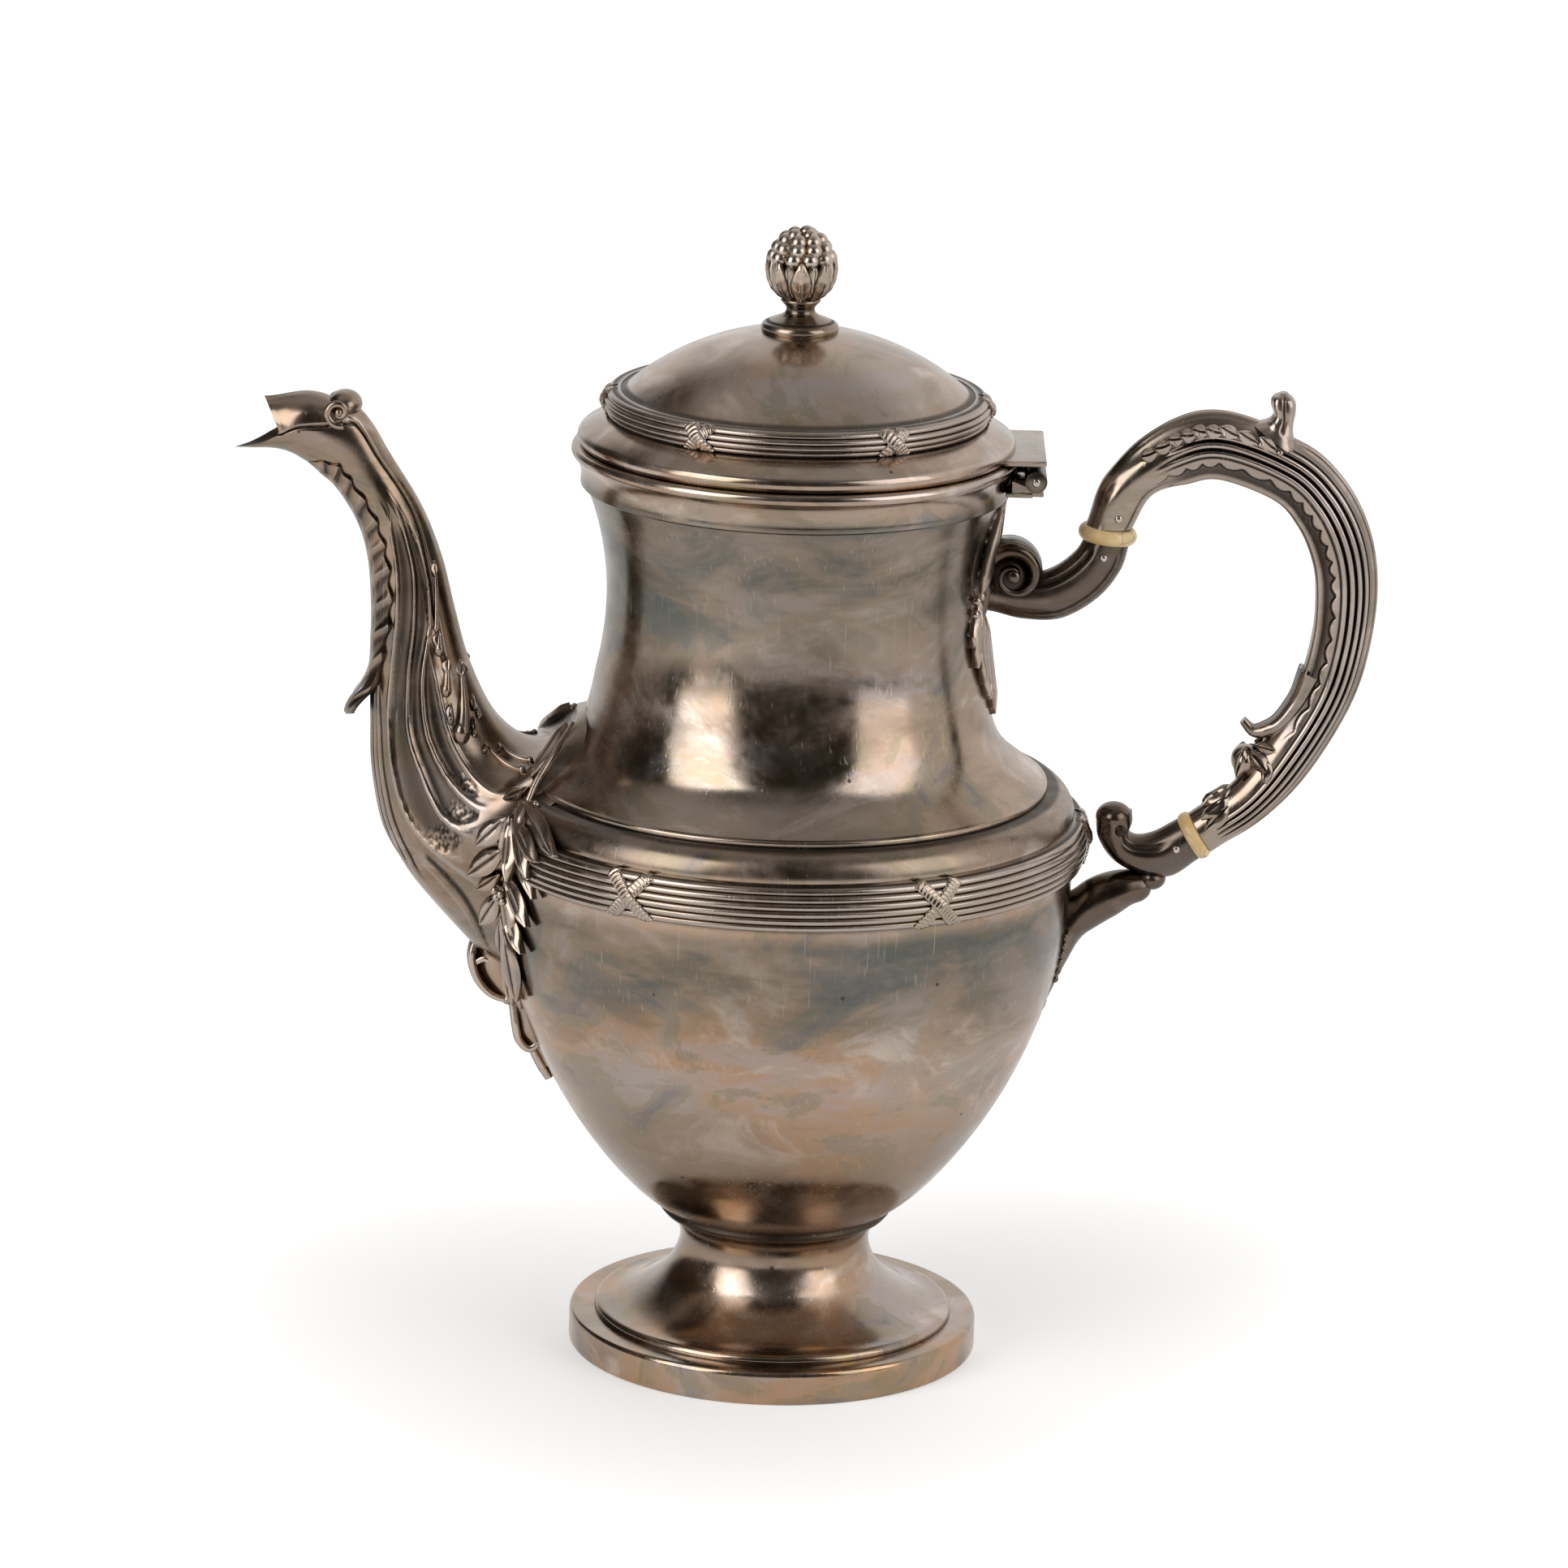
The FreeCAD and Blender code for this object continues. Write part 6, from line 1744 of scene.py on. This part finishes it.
# a flat square; to the camera it glows more with the distance from the pot, and to glossy rays evenly
def setTable():
    half = studio["tableSize"] / 2
    mesh = bpy.data.meshes.new("table")
    corners = [(-half, -half, 0), (half, -half, 0), (half, half, 0), (-half, half, 0)]
    mesh.from_pydata(corners, [], [(0, 1, 2, 3)])
    table = bpy.data.objects.new("table", mesh)
    scene.collection.objects.link(table)
    material, tree, shader = newMaterial("paleTable")
    shader.inputs["Base Color"].default_value = studio["tableColor"]
    shader.inputs["Roughness"].default_value = studio["tableRough"]
    shader.inputs["Emission Color"].default_value = studio["white"]
    spot = addNode(tree, "ShaderNodeTexCoord").outputs["Object"]
    away = addNode(tree, "ShaderNodeVectorMath", {"operation": "LENGTH"}, i0=spot).outputs["Value"]
    glow = span(tree, away, *studio["glowReach"], *studio["tableGlow"])
    rays = addNode(tree, "ShaderNodeLightPath").outputs
    sheen = times(tree, rays["Is Glossy Ray"], studio["tableSheen"])
    glow = mathNode(tree, "MULTIPLY_ADD", rays["Is Camera Ray"], glow, sheen)
    tree.links.new(glow, shader.inputs["Emission Strength"])
    mesh.materials.append(material)


# an upright area lamp at an azimuth from the front, aimed at the pot's middle
def softBox(name, azimuth, power):
    data = bpy.data.lights.new(name, "AREA")
    data.shape = "RECTANGLE"
    data.size, data.size_y = studio["boxSize"]
    data.energy = power
    a, e = math.radians(azimuth), math.radians(studio["boxElevation"])
    aim = np.array([math.sin(a) * math.cos(e), -math.cos(a) * math.cos(e), math.sin(e)])
    side = np.array([math.cos(a), math.sin(a), 0.0])
    place = aim * studio["boxDistance"] + (0, 0, studio["boxAim"])
    placeObject(name, data, side, np.cross(aim, side), aim, place)


# by direction: white behind, a dim warm front, a ceiling that pales towards the back; white to the camera
def setSurround():
    world = bpy.data.worlds.new("surround")
    scene.world = world
    world.use_nodes = True
    tree = world.node_tree
    spot = addNode(tree, "ShaderNodeTexCoord").outputs["Generated"]
    x, y, z = addNode(tree, "ShaderNodeSeparateXYZ", None, Vector=spot).outputs
    behind = span(tree, mathNode(tree, "MULTIPLY_ADD", x, studio["backLean"], y), *studio["backEdge"])
    color = mixColor(tree, behind, studio["front"], studio["back"])
    depth = span(tree, y, *studio["ceilingDepth"])
    ceiling = mixColor(tree, depth, studio["ceilingFront"], studio["ceilingBack"])
    color = mixColor(tree, span(tree, z, *studio["ceilingEdge"]), color, ceiling)
    rays = addNode(tree, "ShaderNodeLightPath").outputs
    color = mixColor(tree, rays["Is Camera Ray"], color, studio["white"])
    tree.links.new(color, tree.nodes["Background"].inputs["Color"])


setTable()
for name, (azimuth, power) in studio["boxes"].items():
    softBox(name, azimuth, power)
setSurround()
scene.view_settings.view_transform = "Standard"
print("stage set")
